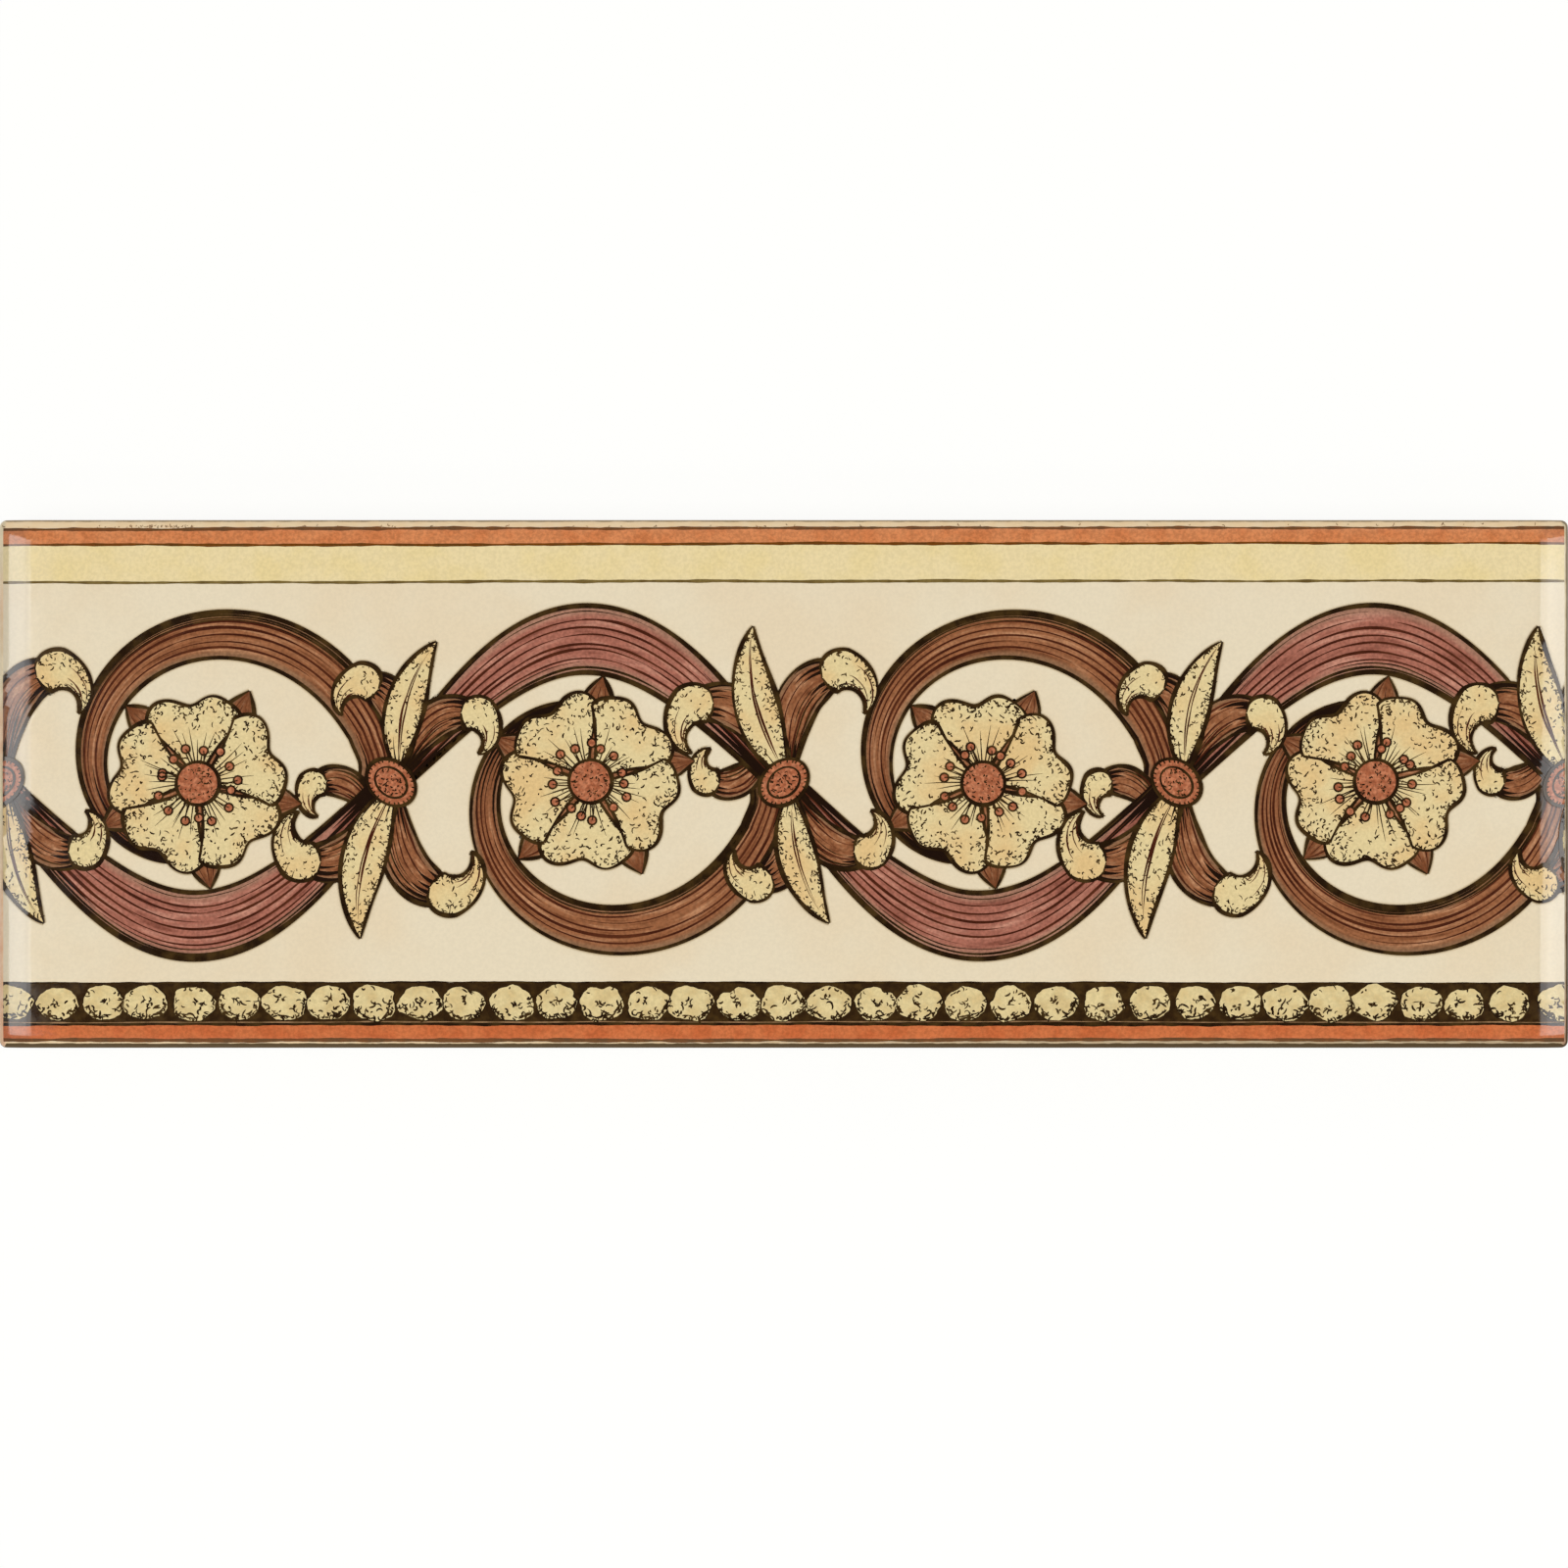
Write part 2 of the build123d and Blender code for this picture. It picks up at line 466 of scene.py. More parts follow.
def lay_ink(name, strokes, material):
    """Closed ridges, one for each stroke of ink.

    A stroke is a path, its half-width at each point, and a level. Its section is a triangle that
    stands on its point: a flat top between the stroke's two edges, over a line sunk in the glaze.
    Each top lies at a height of its own within a fifth of a level, so that no two share a plane.
    The run map holds the share across the top, from its left edge to its right.
    """
    stagger = np.random.default_rng(31)
    points, corners, counts, start = [], [], [], 0
    for paths, halves, level in strokes:
        lines, steps = paths.shape
        level = level + 0.2 * stagger.random((lines, 1))
        along = np.gradient(paths, axis=1)
        sideways = 1j * along / np.maximum(abs(along), 1e-9) * np.maximum(halves, 0.012)
        rails = [lifted(paths + sideways, level), lifted(paths - sideways, level), lifted(paths, SUNK)]
        points.append(np.stack(rails, 2).reshape(-1, 3))
        left, right, low = np.moveaxis(start + np.arange(lines * steps * 3).reshape(lines, steps, 3), 2, 0)
        faces = [
            quads(right[:, :-1], right[:, 1:], left[:, 1:], left[:, :-1]),
            quads(left[:, :-1], left[:, 1:], low[:, 1:], low[:, :-1]),
            quads(low[:, :-1], low[:, 1:], right[:, 1:], right[:, :-1]),
            np.stack([right[:, 0], left[:, 0], low[:, 0]], -1),
            np.stack([left[:, -1], right[:, -1], low[:, -1]], -1),
        ]
        corners += [part.ravel() for part in faces]
        counts.append(np.concatenate([np.full(len(part), part.shape[1]) for part in faces]))
        start += lines * steps * 3
    points, corners = np.concatenate(points), np.concatenate(corners)
    across = np.array([0.0, 1.0, 0.5])[corners % 3]
    maps = {
        PLAN_MAP: on_plan(points[corners, 0] + 1j * points[corners, 1]),
        RUN_MAP: np.stack([0 * across, across], -1),
    }
    return make_piece(name, points, corners, np.concatenate(counts), maps, material)


# Drawing


class Drawing:
    """Films of colour and strokes of ink, drawn with one seeded run of random numbers."""

    def __init__(self, seed):
        self.random = np.random.default_rng(seed)
        self.films = {}
        self.strokes = {}

    def film(self, colour, grid, level):
        """A film of one colour over a grid of points."""
        self.films.setdefault(colour, []).append((grid, level))

    def line(self, paths, halves, level, colour="ink"):
        """Drawn lines, with their half-widths."""
        paths = np.atleast_2d(paths)
        halves = np.broadcast_to(halves, paths.shape)
        self.strokes.setdefault(colour, []).append((paths, halves, level + 0.5))

    def contour(self, paths, halves, level):
        """Lines round a shape, whose ink has bled a little into the ground beside them."""
        self.line(paths, halves, level)
        self.line(paths, np.asarray(halves) + BLEED_REACH, BLEED_LEVEL, "bleed")

    def waver(self, u, rows, size):
        """Slow waves along lines: four sines, each with a phase of its own for every line."""
        waves = np.arange(1, 5)[:, None, None]
        phase = self.random.uniform(0, 2 * pi, (4, rows, 1))
        return size * (np.sin(2 * pi * waves * u + phase) / waves).sum(0) / 1.5

    def outline(self, blade, level, weight=0.17, heavy=1.2):
        """A line along each side of a blade, heavier on the right."""
        u = np.linspace(0, 1, max(44, int(blade.length * 2.2)))
        for side in (1, -1):
            path = blade.at(u, side * (1 + self.waver(u, 1, 0.006)))
            swell = (1 + self.waver(u, 1, 0.3)) * (0.35 + 0.65 * taper(u, 0.1, 0.1))
            self.contour(path, weight * (heavy if side < 0 else 1) * swell, level)

    def hairlines(self, blade, level, count, weight=0.08, wide=0.72, start=(0.0, 0.2), stop=(0.6, 0.95)):
        """Fine lines side by side along a blade, each starting and stopping where it likes."""
        u = np.linspace(0, 1, max(12, int(blade.length * 1.5)))
        v = np.linspace(-wide, wide, count)[:, None]
        v = v + self.random.normal(0, 0.25 * wide / count, (count, 1))
        first = self.random.uniform(*start, (count, 1))
        last = self.random.uniform(*stop, (count, 1))
        path = blade.at(first + (last - first) * u, v + self.waver(u, count, 0.025))
        swell = self.random.uniform(0.7, 1.35, (count, 1)) * (1 + self.waver(u, count, 0.3))
        self.line(path, weight * swell * taper(u, 0.3, 0.5), level, "russet")

    def lanes(self, blade, level, count, weight=0.09, wide=0.74, start=(0.02, 0.2), stop=(0.75, 0.98)):
        """Lines at even distances along a blade, each broken once near its middle."""
        u = np.linspace(0, 1, max(14, int(blade.length * 0.9)))
        v = np.linspace(-wide, wide, count) + self.random.normal(0, 0.1 * wide / count, count)
        rest = self.random.uniform(0.3, 0.7, count)
        gap = self.random.uniform(-0.04, 0.04, count)
        first = np.concatenate([self.random.uniform(*start, count), rest + gap])[:, None]
        last = np.concatenate([rest - gap, self.random.uniform(*stop, count)])[:, None]
        v = np.tile(v, 2)[:, None] + self.random.normal(0, 0.07 / count, (2 * count, 1))
        path = blade.at(first + (last - first) * u, v + self.waver(u, 2 * count, 0.012))
        swell = self.random.uniform(0.75, 1.25, (2 * count, 1)) * (1 + self.waver(u, 2 * count, 0.2))
        self.line(path, weight * swell * taper(u, 0.25, 0.4), level, "russet")

    def shading(self, blade, level, count, side=-1, weight=0.11, depth=0.75):
        """Lines along one side of a blade, crowded and thick at its edge and thinner inwards."""
        u = np.linspace(0, 1, max(14, int(blade.length * 1.5)))
        share = np.linspace(0, 1, count)[:, None]
        v = side * (0.97 - depth * share) + self.random.normal(0, 0.015, (count, 1))
        first = self.random.uniform(0, 0.3, (count, 1)) * (0.3 + share)
        last = 1 - self.random.uniform(0, 0.4, (count, 1)) * (0.3 + share)
        path = blade.at(first + (last - first) * u, v + self.waver(u, count, 0.015))
        swell = (1.15 - 0.75 * share) * (1 + self.waver(u, count, 0.25))
        self.line(path, weight * swell * taper(u, 0.25, 0.4), level)

    def wedges(self, blade, level, count, reach, weight=0.28, at_end=False):
        """A dark fan: strokes thick at one end of a blade, running out to points."""
        u = np.linspace(0, 1, 14)
        v = np.linspace(-0.9, 0.9, count)[:, None] + self.random.normal(0, 0.18 / count, (count, 1))
        far = reach * self.random.uniform(0.45, 1.0, (count, 1)) * (0.6 + 0.4 * abs(v))
        t = far * u
        halves = weight * (1 - u) ** 0.8 * self.random.uniform(0.8, 1.2, (count, 1))
        self.line(blade.at(1 - t if at_end else t, v), halves, level, "shade")

    def fringe(self, blade, level, count, side, reach=0.34, weight=0.07):
        """Short strokes from one edge of a blade towards its middle, like the teeth of a comb."""
        u = np.linspace(0, 1, 4)
        t = np.linspace(0.08, 0.92, count)[:, None] + self.random.normal(0, 0.3 / count, (count, 1))
        depth = reach * self.random.uniform(0.4, 1.2, (count, 1))
        lean = self.random.normal(0.02, 0.012, (count, 1))
        path = blade.at(np.clip(t + lean * u, 0, 1), side * (1 - depth * u))
        self.line(path, weight * (1 - 0.8 * u), level, "stipple")

    def squiggles(self, centres, level, size=0.42, weight=0.055):
        """Short strokes at the given points: arcs turned every way, some nearly straight and some
        curled up. An arc's point is the whole of its turning so far, divided by its bend."""
        count = len(centres)
        u = np.linspace(-0.5, 0.5, 6)
        turn = np.exp(1j * self.random.uniform(0, 2 * pi, (count, 1)))
        bend = self.random.uniform(0.3, 4.0, (count, 1)) * self.random.choice((-1, 1), (count, 1))
        reach = size * self.random.uniform(0.4, 1.5, (count, 1))
        path = centres[:, None] + reach * turn * (np.exp(1j * bend * u) - 1) / (1j * bend)
        swell = self.random.uniform(0.6, 1.4, (count, 1)) * np.sqrt(1.15 - (2 * u) ** 2)
        self.line(path, weight * swell, level, "stipple")

    def stipple(self, blade, level, density, depth=0.3):
        """Squiggles over a blade, dense along its edges and thin towards its middle."""
        count = int(blade.length * (blade.left.max() + blade.right.max()) * density)
        t = self.random.uniform(0.04, 0.97, count)
        side = self.random.choice((-1, 1), count)
        inwards = np.clip(self.random.exponential(depth, count), 0.03, 1.7)
        self.squiggles(blade.at(t, side * (1 - inwards)), level)

    def lay(self, name, trimmed=True):
        """Turns the drawing into pieces: one for each colour of its films and of its strokes."""
        for lay_down, drawn in ((lay_films, self.films), (lay_ink, self.strokes)):
            for colour, shapes in drawn.items():
                piece = lay_down(f"{name}_{colour}", shapes, print_material(colour))
                if trimmed:
                    trim_ends(piece)


class Cell:
    """One hollow of the scroll: it puts what is drawn for a hollow open upwards in its place."""

    def __init__(self, number):
        form = bpy.context.scene.scroll_form
        self.upright = number % 2 == 0
        self.origin = (number + 0.5) * form.half_wave / MM + 1j * form.middle_line / MM

    def place(self, points):
        """The points, turned over where the hollow opens downwards, and moved to its place."""
        points = np.asarray(points)
        return self.origin + (points if self.upright else points.conj())

    def blade(self, middle, left, right=None):
        """A blade in this hollow, with its left and right sides as they were drawn."""
        right = left if right is None else right
        sides = (left, right) if self.upright else (right, left)
        return Blade(self.place(middle), *sides)


def cells():
    """The hollows that show on one tile, the outer ones cut by its ends."""
    return [Cell(number) for number in range(-3, 3)]


def draw_stem(art, cell, level):
    """The stem of one hollow: a wave whose ribbon is wide at its foot and narrow at the knobs."""
    form = bpy.context.scene.scroll_form
    half, height = form.half_wave / MM, form.wave_height / MM
    overlap = 0.4
    x = np.linspace(-half / 2 - overlap, half / 2 + overlap, 160)
    wave = np.cos(pi * x / half)
    widths = form.stem_neck / MM + form.stem_swell / MM * np.clip(wave, 0, 1) ** 1.1
    stem = cell.blade(x - 1j * height * wave, widths)
    art.film("rose", stem.grid(), level)
    art.outline(stem, level, 0.19, 1.25)
    art.lanes(stem, level, 6, 0.11, 0.58)
    art.shading(stem, level, 3, weight=0.15, depth=0.26)
    art.shading(stem, level, 2, side=1, weight=0.12, depth=0.16)
    art.wedges(stem, level, 8, 0.33, 0.31)
    art.wedges(stem, level, 8, 0.33, 0.31, at_end=True)


def draw_branch(art, cell, level):
    """The branch of one hollow: it leaves the stem before the knob, and winds in round the
    rosette on a spiral whose radius shrinks with the angle."""
    form = bpy.context.scene.scroll_form
    half, height = form.half_wave / MM, form.wave_height / MM
    angle = np.radians(np.linspace(16, 262, 60))
    share = np.linspace(0, 1, 60)
    spiral = 0.6 + 0.4j + (17.0 - 9.6 * share**0.9) * np.exp(1j * angle)
    parting = [x - 1j * height * np.cos(pi * x / half) for x in (10.0, 13.5)]
    lead = through(parting + [16.6 - 2.2j, 17.9 + 1.6j, spiral[0]], 50)
    middle = even_steps(np.append(lead, spiral), 200)
    widths = smooth(np.linspace(0, 1, 200), [0.8, 1.6, 2.2, 2.35, 2.1, 1.6, 1.1, 0.8])
    branch = cell.blade(middle, widths)
    art.film("sienna", branch.grid(), level)
    art.outline(branch, level, 0.17, 1.3)
    art.lanes(branch, level, 5, 0.11, 0.56, (0.04, 0.2), (0.7, 0.95))
    art.shading(branch, level, 4, weight=0.15, depth=0.36)
    art.shading(branch, level, 1, side=1, weight=0.10, depth=0.12)
    art.wedges(branch, level, 8, 0.36, 0.34)
    art.wedges(branch, level, 7, 0.34, 0.26, at_end=True)


def draw_hooked_leaf(art, cell, base, heading, reach, curl, wide, level, fold=0.55, power=1.7):
    """A leaf whose tip rolls over and hooks: a sienna body up to the fold, and from there its
    pale underside, a drop bent along the rest of the same line."""
    steps = 160
    middle = turning(base, heading, reach, curl, power, steps)
    cut = int(fold * steps)
    u = np.linspace(0, 1, 90)
    body_widths = wide * smooth(u, [0.22, 0.62, 0.96, 1.08, 0.98, 0.55])
    body = cell.blade(even_steps(middle[:cut + 22], 90), body_widths)
    art.film("sienna", body.grid(), level)
    art.outline(body, level)
    art.hairlines(body, level, max(4, int(wide * 3)), start=(0.0, 0.15))
    art.shading(body, level, 4)
    art.wedges(body, level, 6, 0.6, 0.24)
    art.wedges(body, level, 7, 0.5, 0.34, at_end=True)

    outer = 1.30 * wide * drop_shape(u, 0.30, 0.85)
    inner = 0.86 * wide * drop_shape(u, 0.22, 1.25)
    sides = (inner, outer) if curl > 0 else (outer, inner)
    tip = cell.blade(even_steps(middle[cut:], 90), *sides)
    art.film("petal", tip.grid(), level + 1)
    art.outline(tip, level + 1)
    art.stipple(tip, level + 1, 4.8, 0.26)
    art.hairlines(tip, level + 1, 3, 0.06, 0.5, (0.35, 0.5), (0.8, 0.97))
    art.fringe(tip, level + 1, 9, 1 if curl > 0 else -1)


def draw_pale_leaf(art, cell, base, heading, reach, wide, level):
    """A pointed leaf with a midrib: each side is a sine of a power of the share along it."""
    u = np.linspace(0, 1, 90)
    sides = [
        wide * np.maximum(np.sin(pi * u**power) ** power, 0.1 * (1 - u)) + 0.02 for power in (0.85, 0.95)
    ]
    leaf = cell.blade(turning(base, heading + 0.24, reach, -0.72, 1.4), *sides)
    art.film("petal", leaf.grid(), level)
    art.outline(leaf, level)
    art.stipple(leaf, level, 4.6, 0.26)
    art.hairlines(leaf, level, 2, 0.08, 0.06, (0.1, 0.14), (0.8, 0.95))
    art.wedges(leaf, level, 5, 0.34, 0.15)


def draw_spray(art, cell, base, heading, size, splay, reach, level):
    """A pointed leaf between two that hook away from it."""
    for side in (1, -1):
        draw_hooked_leaf(
            art, cell, base, heading - side * splay, size * reach, -side * radians(215),
            size * 0.15, level + (side < 0), fold=0.60, power=2.3,
        )
    draw_pale_leaf(art, cell, base, heading + 0.06, size * 1.2, size * 0.165, level + 3)


def draw_disc(art, cell, colour, centre, width, height, turn, level, dots, weight=0.17):
    """An oval of colour with a wavering outline and squiggles all over it."""

    def oval(points):
        return cell.place(centre + (width * points.real + 1j * height * points.imag) * np.exp(1j * turn))

    art.film(colour, oval(disc_grid(13)), level)
    u = np.linspace(0, 1, 49)
    art.contour(oval(np.exp(2j * pi * u)), weight * (1 + art.waver(u, 1, 0.25)), level)
    if dots:
        reach = np.sqrt(art.random.uniform(0, 0.95, dots))
        art.squiggles(oval(reach * np.exp(2j * pi * art.random.uniform(0, 1, dots))), level, 0.3)


def draw_knob(art, cell, centre, size, level):
    """The boss that binds the stems: a stippled button with a raised rim, a little wider along
    the stems than across them."""
    lean, narrow, spokes = radians(49), 0.78 * size, 26
    draw_disc(art, cell, "clay", centre, narrow, size, lean, level, 0)
    draw_disc(art, cell, "clay", centre, 0.50 * size, 0.66 * size, lean, level + 1, 46, 0.11)
    turns = 2 * pi * (np.arange(spokes) + art.random.uniform(-0.2, 0.2, spokes)) / spokes
    rim = narrow * np.cos(turns) + 1j * size * np.sin(turns)
    lines = rim[:, None] * np.linspace(0.96, 0.84, 3) * np.exp(1j * lean)
    art.line(cell.place(centre + lines), 0.07, level)


def draw_rosette(art, cell, centre, size, level):
    """Five sepals, and over them five notched petals round a button with its stamens."""
    turns = radians(90) + 2 * pi / 5 * np.arange(5)
    s = np.linspace(0, 1, 30)
    for turn in turns + pi / 5:
        middle = centre + size * 1.18 * s * np.exp(1j * (turn + 0.12 * s))
        sepal = cell.blade(middle, np.maximum(size * 0.2 * np.sin(pi * s**1.6), 0.03))
        art.film("sienna", sepal.grid(5), level)
        art.outline(sepal, level, 0.15)
        art.hairlines(sepal, level, 3, 0.07, 0.5, (0.4, 0.5), (0.8, 0.97))

    for number, turn in enumerate(turns + radians(4)):
        draw_petal(art, cell, centre, size, turn, level + 1 + number)

    top = level + 6
    button, stamens, bend, head_radius = 0.24 * size, 15, 0.12, 0.42
    draw_disc(art, cell, "clay", centre, button, button, 0, top, 60)
    turns = 2 * pi / stamens * np.arange(stamens) + art.random.normal(0, 0.08, stamens)
    for number, turn in enumerate(turns):
        far = size * art.random.uniform(0.36, 0.46)
        line = np.linspace(size * 0.23, far, 8) * np.exp(1j * (turn + np.linspace(0, bend, 8)))
        art.line(cell.place(centre + line), 0.06, top)

        # Heads that are neighbours may overlap, so they lie at three levels in turn
        head = centre + line[-1]
        head_level = top + 0.2 * (1 + number % 3)
        art.film("clay", cell.place(head + head_radius * disc_grid(5)), head_level)
        ring = head + head_radius * np.exp(2j * pi * np.linspace(0, 1, 13))
        art.line(cell.place(ring), 0.09, head_level)


def draw_petal(art, cell, centre, size, turn, level):
    """One petal, in rings round the rosette: at the share v across it the rim lies at the size,
    less a notch in the middle and a rounding at the sides, and the petal narrows inwards."""

    def petal(t, v):
        notch = 0.13 * np.exp(-((v / 0.28) ** 2))
        rim = size * (1 - notch - 0.16 * abs(v) ** 5 + 0.02 * np.sin(7 * v))
        angle = turn - v * radians(39) * (0.55 + 0.45 * t**0.7)
        return cell.place(centre + t * rim * np.exp(1j * angle))

    art.film("petal", petal(np.linspace(0.12, 1, 18)[:, None], np.linspace(-1, 1, 25)), level)
    u = np.linspace(0, 1, 60)
    art.contour(petal(1.0, 2 * u - 1), 0.16 * (1 + art.waver(u, 1, 0.3)), level)
    side = np.linspace(0, 1, 20)
    edges = petal(0.12 + 0.88 * side, np.array([[-1.0], [1.0]]))
    art.line(edges, 0.14 * (1 + art.waver(side, 2, 0.3)), level)

    vein = np.linspace(0, 1, 12)
    across = np.linspace(-0.6, 0.6, 6)[:, None] + art.random.normal(0, 0.06, (6, 1))
    reach = art.random.uniform(0.45, 0.72, (6, 1))
    art.line(petal(0.2 + (reach - 0.2) * vein, across), 0.075 * np.sqrt(1 - vein), level)
    rim_share = 1 - np.clip(art.random.exponential(0.12, 105), 0.03, 0.7)
    art.squiggles(petal(rim_share, art.random.uniform(-0.95, 0.95, 105)), level, weight=0.06)
    beside = 1 - np.clip(art.random.exponential(0.12, 50), 0.03, 0.5)
    sides = art.random.choice((-1, 1), 50) * beside
    art.squiggles(petal(art.random.uniform(0.3, 0.97, 50), sides), level, weight=0.06)


# Finishes


# Each printed colour: the colour of its washes, how strong they are, how strong its grain is, and
# how many washes there are to the millimetre
FINISHES = {
    "field": ("glaze", 0.25, 0.16, 0.1),
    "cream": ("cream_deep", 0.8, 0.34, 0.25),
    "stripe": ("stripe_deep", 0.9, 1.0, 0.5),
    "lower_stripe": ("lower_stripe_deep", 0.9, 0.9, 0.5),
    "bead_ground": ("ink_thin", 0.45, 0.8, 1.0),
    "bead": ("bead_shade", 0.7, 0.6, 0.8),
    "petal": ("petal_warm", 0.75, 0.45, 0.22),
    "clay": ("clay_light", 0.8, 1.6, 2.4),
    "keyline": ("ink_thin", 0.6, 0.6, 0.6),
    "olive": ("ink_thin", 0.6, 0.6, 0.6),
    "seam": ("ink_thin", 0.6, 0.6, 0.6),
    "ink": ("ink_thin", 0.6, 0.6, 0.6),
    "russet": ("russet_thin", 0.6, 0.5, 0.3),
    "shade": ("ink", 0.6, 0.5, 0.3),
}
STREAK_GRAIN = 1.1  # how strong the grain is in the colours that have streaks instead


def rgba(name):
    """One of the user's colours, with full alpha."""
    return (*getattr(bpy.context.scene.print_tones, name), 1)


def add_node(tree, kind, inputs=None, **settings):
    """A node with its settings, and each named input either linked or set to a value."""
    node = tree.nodes.new(kind)
    for name, value in settings.items():
        setattr(node, name, value)
    for name, value in (inputs or {}).items():
        if isinstance(value, bpy.types.NodeSocket):
            tree.links.new(value, node.inputs[name])
        else:
            node.inputs[name].default_value = value
    return node


def calculate(tree, operation, *values):
    """A value worked out from one or two others."""
    return add_node(tree, "ShaderNodeMath", dict(enumerate(values)), operation=operation).outputs[0]


def times(tree, first, second):
    """One value times another."""
    return calculate(tree, "MULTIPLY", first, second)


def scaled(tree, vector, factor):
    """A vector or colour, times a value."""
    inputs = {0: vector, "Scale": factor}
    return add_node(tree, "ShaderNodeVectorMath", inputs, operation="SCALE").outputs["Vector"]


def split(tree, vector):
    """The parts X, Y and Z of a vector."""
    return add_node(tree, "ShaderNodeSeparateXYZ", {"Vector": vector}).outputs


def millimetres(tree):
    """The object's own coordinates, in millimetres."""
    return scaled(tree, add_node(tree, "ShaderNodeTexCoord").outputs["Object"], 1 / MM)


def noise(tree, place, scale, detail=2.0, rough=0.5):
    """Noise from 0 to 1 with so many bumps to the unit."""
    inputs = {"Vector": place, "Scale": scale, "Detail": detail, "Roughness": rough}
    return add_node(tree, "ShaderNodeTexNoise", inputs).outputs["Fac"]


def spread(tree, value, low, high, start=0.0, end=1.0):
    """The value, from low and high to start and end, smoothly and no further."""
    inputs = {"Value": value, "From Min": low, "From Max": high, "To Min": start, "To Max": end}
    kind = "ShaderNodeMapRange"
    return add_node(tree, kind, inputs, interpolation_type="SMOOTHSTEP").outputs["Result"]


def between(tree, share, first, second):
    """A value between two others, by the share."""
    return add_node(tree, "ShaderNodeMix", {"Factor": share, "A": first, "B": second}).outputs["Result"]


def blend(tree, share, under, over, kind="MIX"):
    """The second colour over the first, by the share."""
    inputs = {"Factor": share, "A": under, "B": over}
    return add_node(tree, "ShaderNodeMix", inputs, data_type="RGBA", blend_type=kind).outputs["Result"]


def shares(tree):
    """The shares of the way along a shape and across it."""
    parts = split(tree, add_node(tree, "ShaderNodeUVMap", uv_map=RUN_MAP).outputs["UV"])
    return parts["X"], parts["Y"]


def from_half(tree, value):
    """How far a value is from a half."""
    return calculate(tree, "ABSOLUTE", calculate(tree, "SUBTRACT", value, 0.5))


def grained(tree, colour, place, strength):
    """The colour with the fine grain of the print: noise makes it lighter and darker by turns."""
    grain = spread(tree, noise(tree, place, 3.2, 2.0, 0.6), 0.3, 0.7, -0.16, 0.16)
    return scaled(tree, colour, calculate(tree, "ADD", times(tree, grain, strength), 1.0))


def fill_painted_end_shade(tree, entry):
    """A colour darkened by painted shade where the face rolls down at its two ends, most of all on
    the left."""
    x = split(tree, millimetres(tree))["X"]
    out = calculate(tree, "ABSOLUTE", x)
    flat = HALF_LENGTH - bpy.context.scene.tile_form.end_run / MM
    # Painted shade: the colour is darkened over the end cushions, deepest on the left
    least = spread(tree, x, -1, 1, 0.82, 0.94)
    start = spread(tree, out, flat - 0.1, flat + 0.6, 1.0, least)
    rest = spread(tree, out, flat + 0.6, HALF_LENGTH - 0.2, 1.0, 0.9)
    return {"Colour": blend(tree, 1.0, entry["Colour"], times(tree, start, rest), "MULTIPLY")}


def fill_printed_colour(tree, entry):
    """A printed colour, uneven by slow washes of a second colour and by the fine grain of the
    print, both noise in the tile's own place."""
    place = millimetres(tree)
    slow = spread(tree, noise(tree, place, entry["Wash Scale"], 3.0), 0.38, 0.68)
    washed = blend(tree, times(tree, slow, entry["Wash"]), entry["Colour"], entry["Wash Colour"])
    grainy = grained(tree, washed, place, entry["Grain"])
    # The colour gets the painted shade at the ends
    return {"Colour": use_group(tree, "Painted end shade", {"Colour": grainy})["Colour"]}


def fill_drawn_streaks(tree, entry):
    """The colour of a long shape. It is light half way along and dark towards both ends, streaked
    by noise that is stretched along the shape, and thin along its two sides."""
    place = millimetres(tree)
    along, across = shares(tree)
    inputs = {
        "X": times(tree, along, 5.0), "Y": times(tree, across, 5.0),
        "Z": times(tree, split(tree, place)["X"], 0.04),
    }
    streak = noise(tree, add_node(tree, "ShaderNodeCombineXYZ", inputs).outputs["Vector"], 1.6, 3.0, 0.6)
    lit = blend(tree, spread(tree, streak, 0.5, 0.72), entry["Colour"], entry["Light"])
    shaded = blend(tree, spread(tree, streak, 0.48, 0.3, 0.0, 0.7), lit, entry["Dark"])
    ended = blend(tree, spread(tree, from_half(tree, along), 0.2, 0.5, 0.0, 0.8), shaded, entry["Dark"])
    edged = blend(tree, spread(tree, from_half(tree, across), 0.3, 0.44, 0.0, 0.85), ended, entry["Edge"])
    grainy = grained(tree, edged, place, entry["Grain"])
    # The colour gets the painted shade at the ends
    return {"Colour": use_group(tree, "Painted end shade", {"Colour": grainy})["Colour"]}


def fill_glaze_surface(tree, entry):
    """The fired glaze's own surface, the same over everything that lies under it: long ripples
    with a fine orange peel as height, and a slightly uneven polish as roughness."""
    place = millimetres(tree)
    ripple = noise(tree, place, 0.16, 2.0)
    peel = times(tree, noise(tree, place, 1.1, 2.0), 0.10)
    rough = spread(tree, noise(tree, place, 0.5, 3.0), 0.3, 0.7, 0.05, 0.10)
    return {"Height": calculate(tree, "ADD", ripple, peel), "Roughness": rough}


# Each node group: what fills it, its inputs that are colours, its inputs that are values, and its
# outputs
NODE_GROUPS = {
    # Painted shade over the end cushions
    "Painted end shade": (fill_painted_end_shade, ["Colour"], [], {"Colour": "NodeSocketColor"}),
    "Printed colour": (
        fill_printed_colour, ["Colour", "Wash Colour"], ["Wash", "Grain", "Wash Scale"],
        {"Colour": "NodeSocketColor"},
    ),
    "Drawn streaks": (
        fill_drawn_streaks, ["Colour", "Light", "Dark", "Edge"], ["Grain"], {"Colour": "NodeSocketColor"},
    ),
    "Glaze surface": (
        fill_glaze_surface, [], [], {"Height": "NodeSocketFloat", "Roughness": "NodeSocketFloat"},
    ),
}


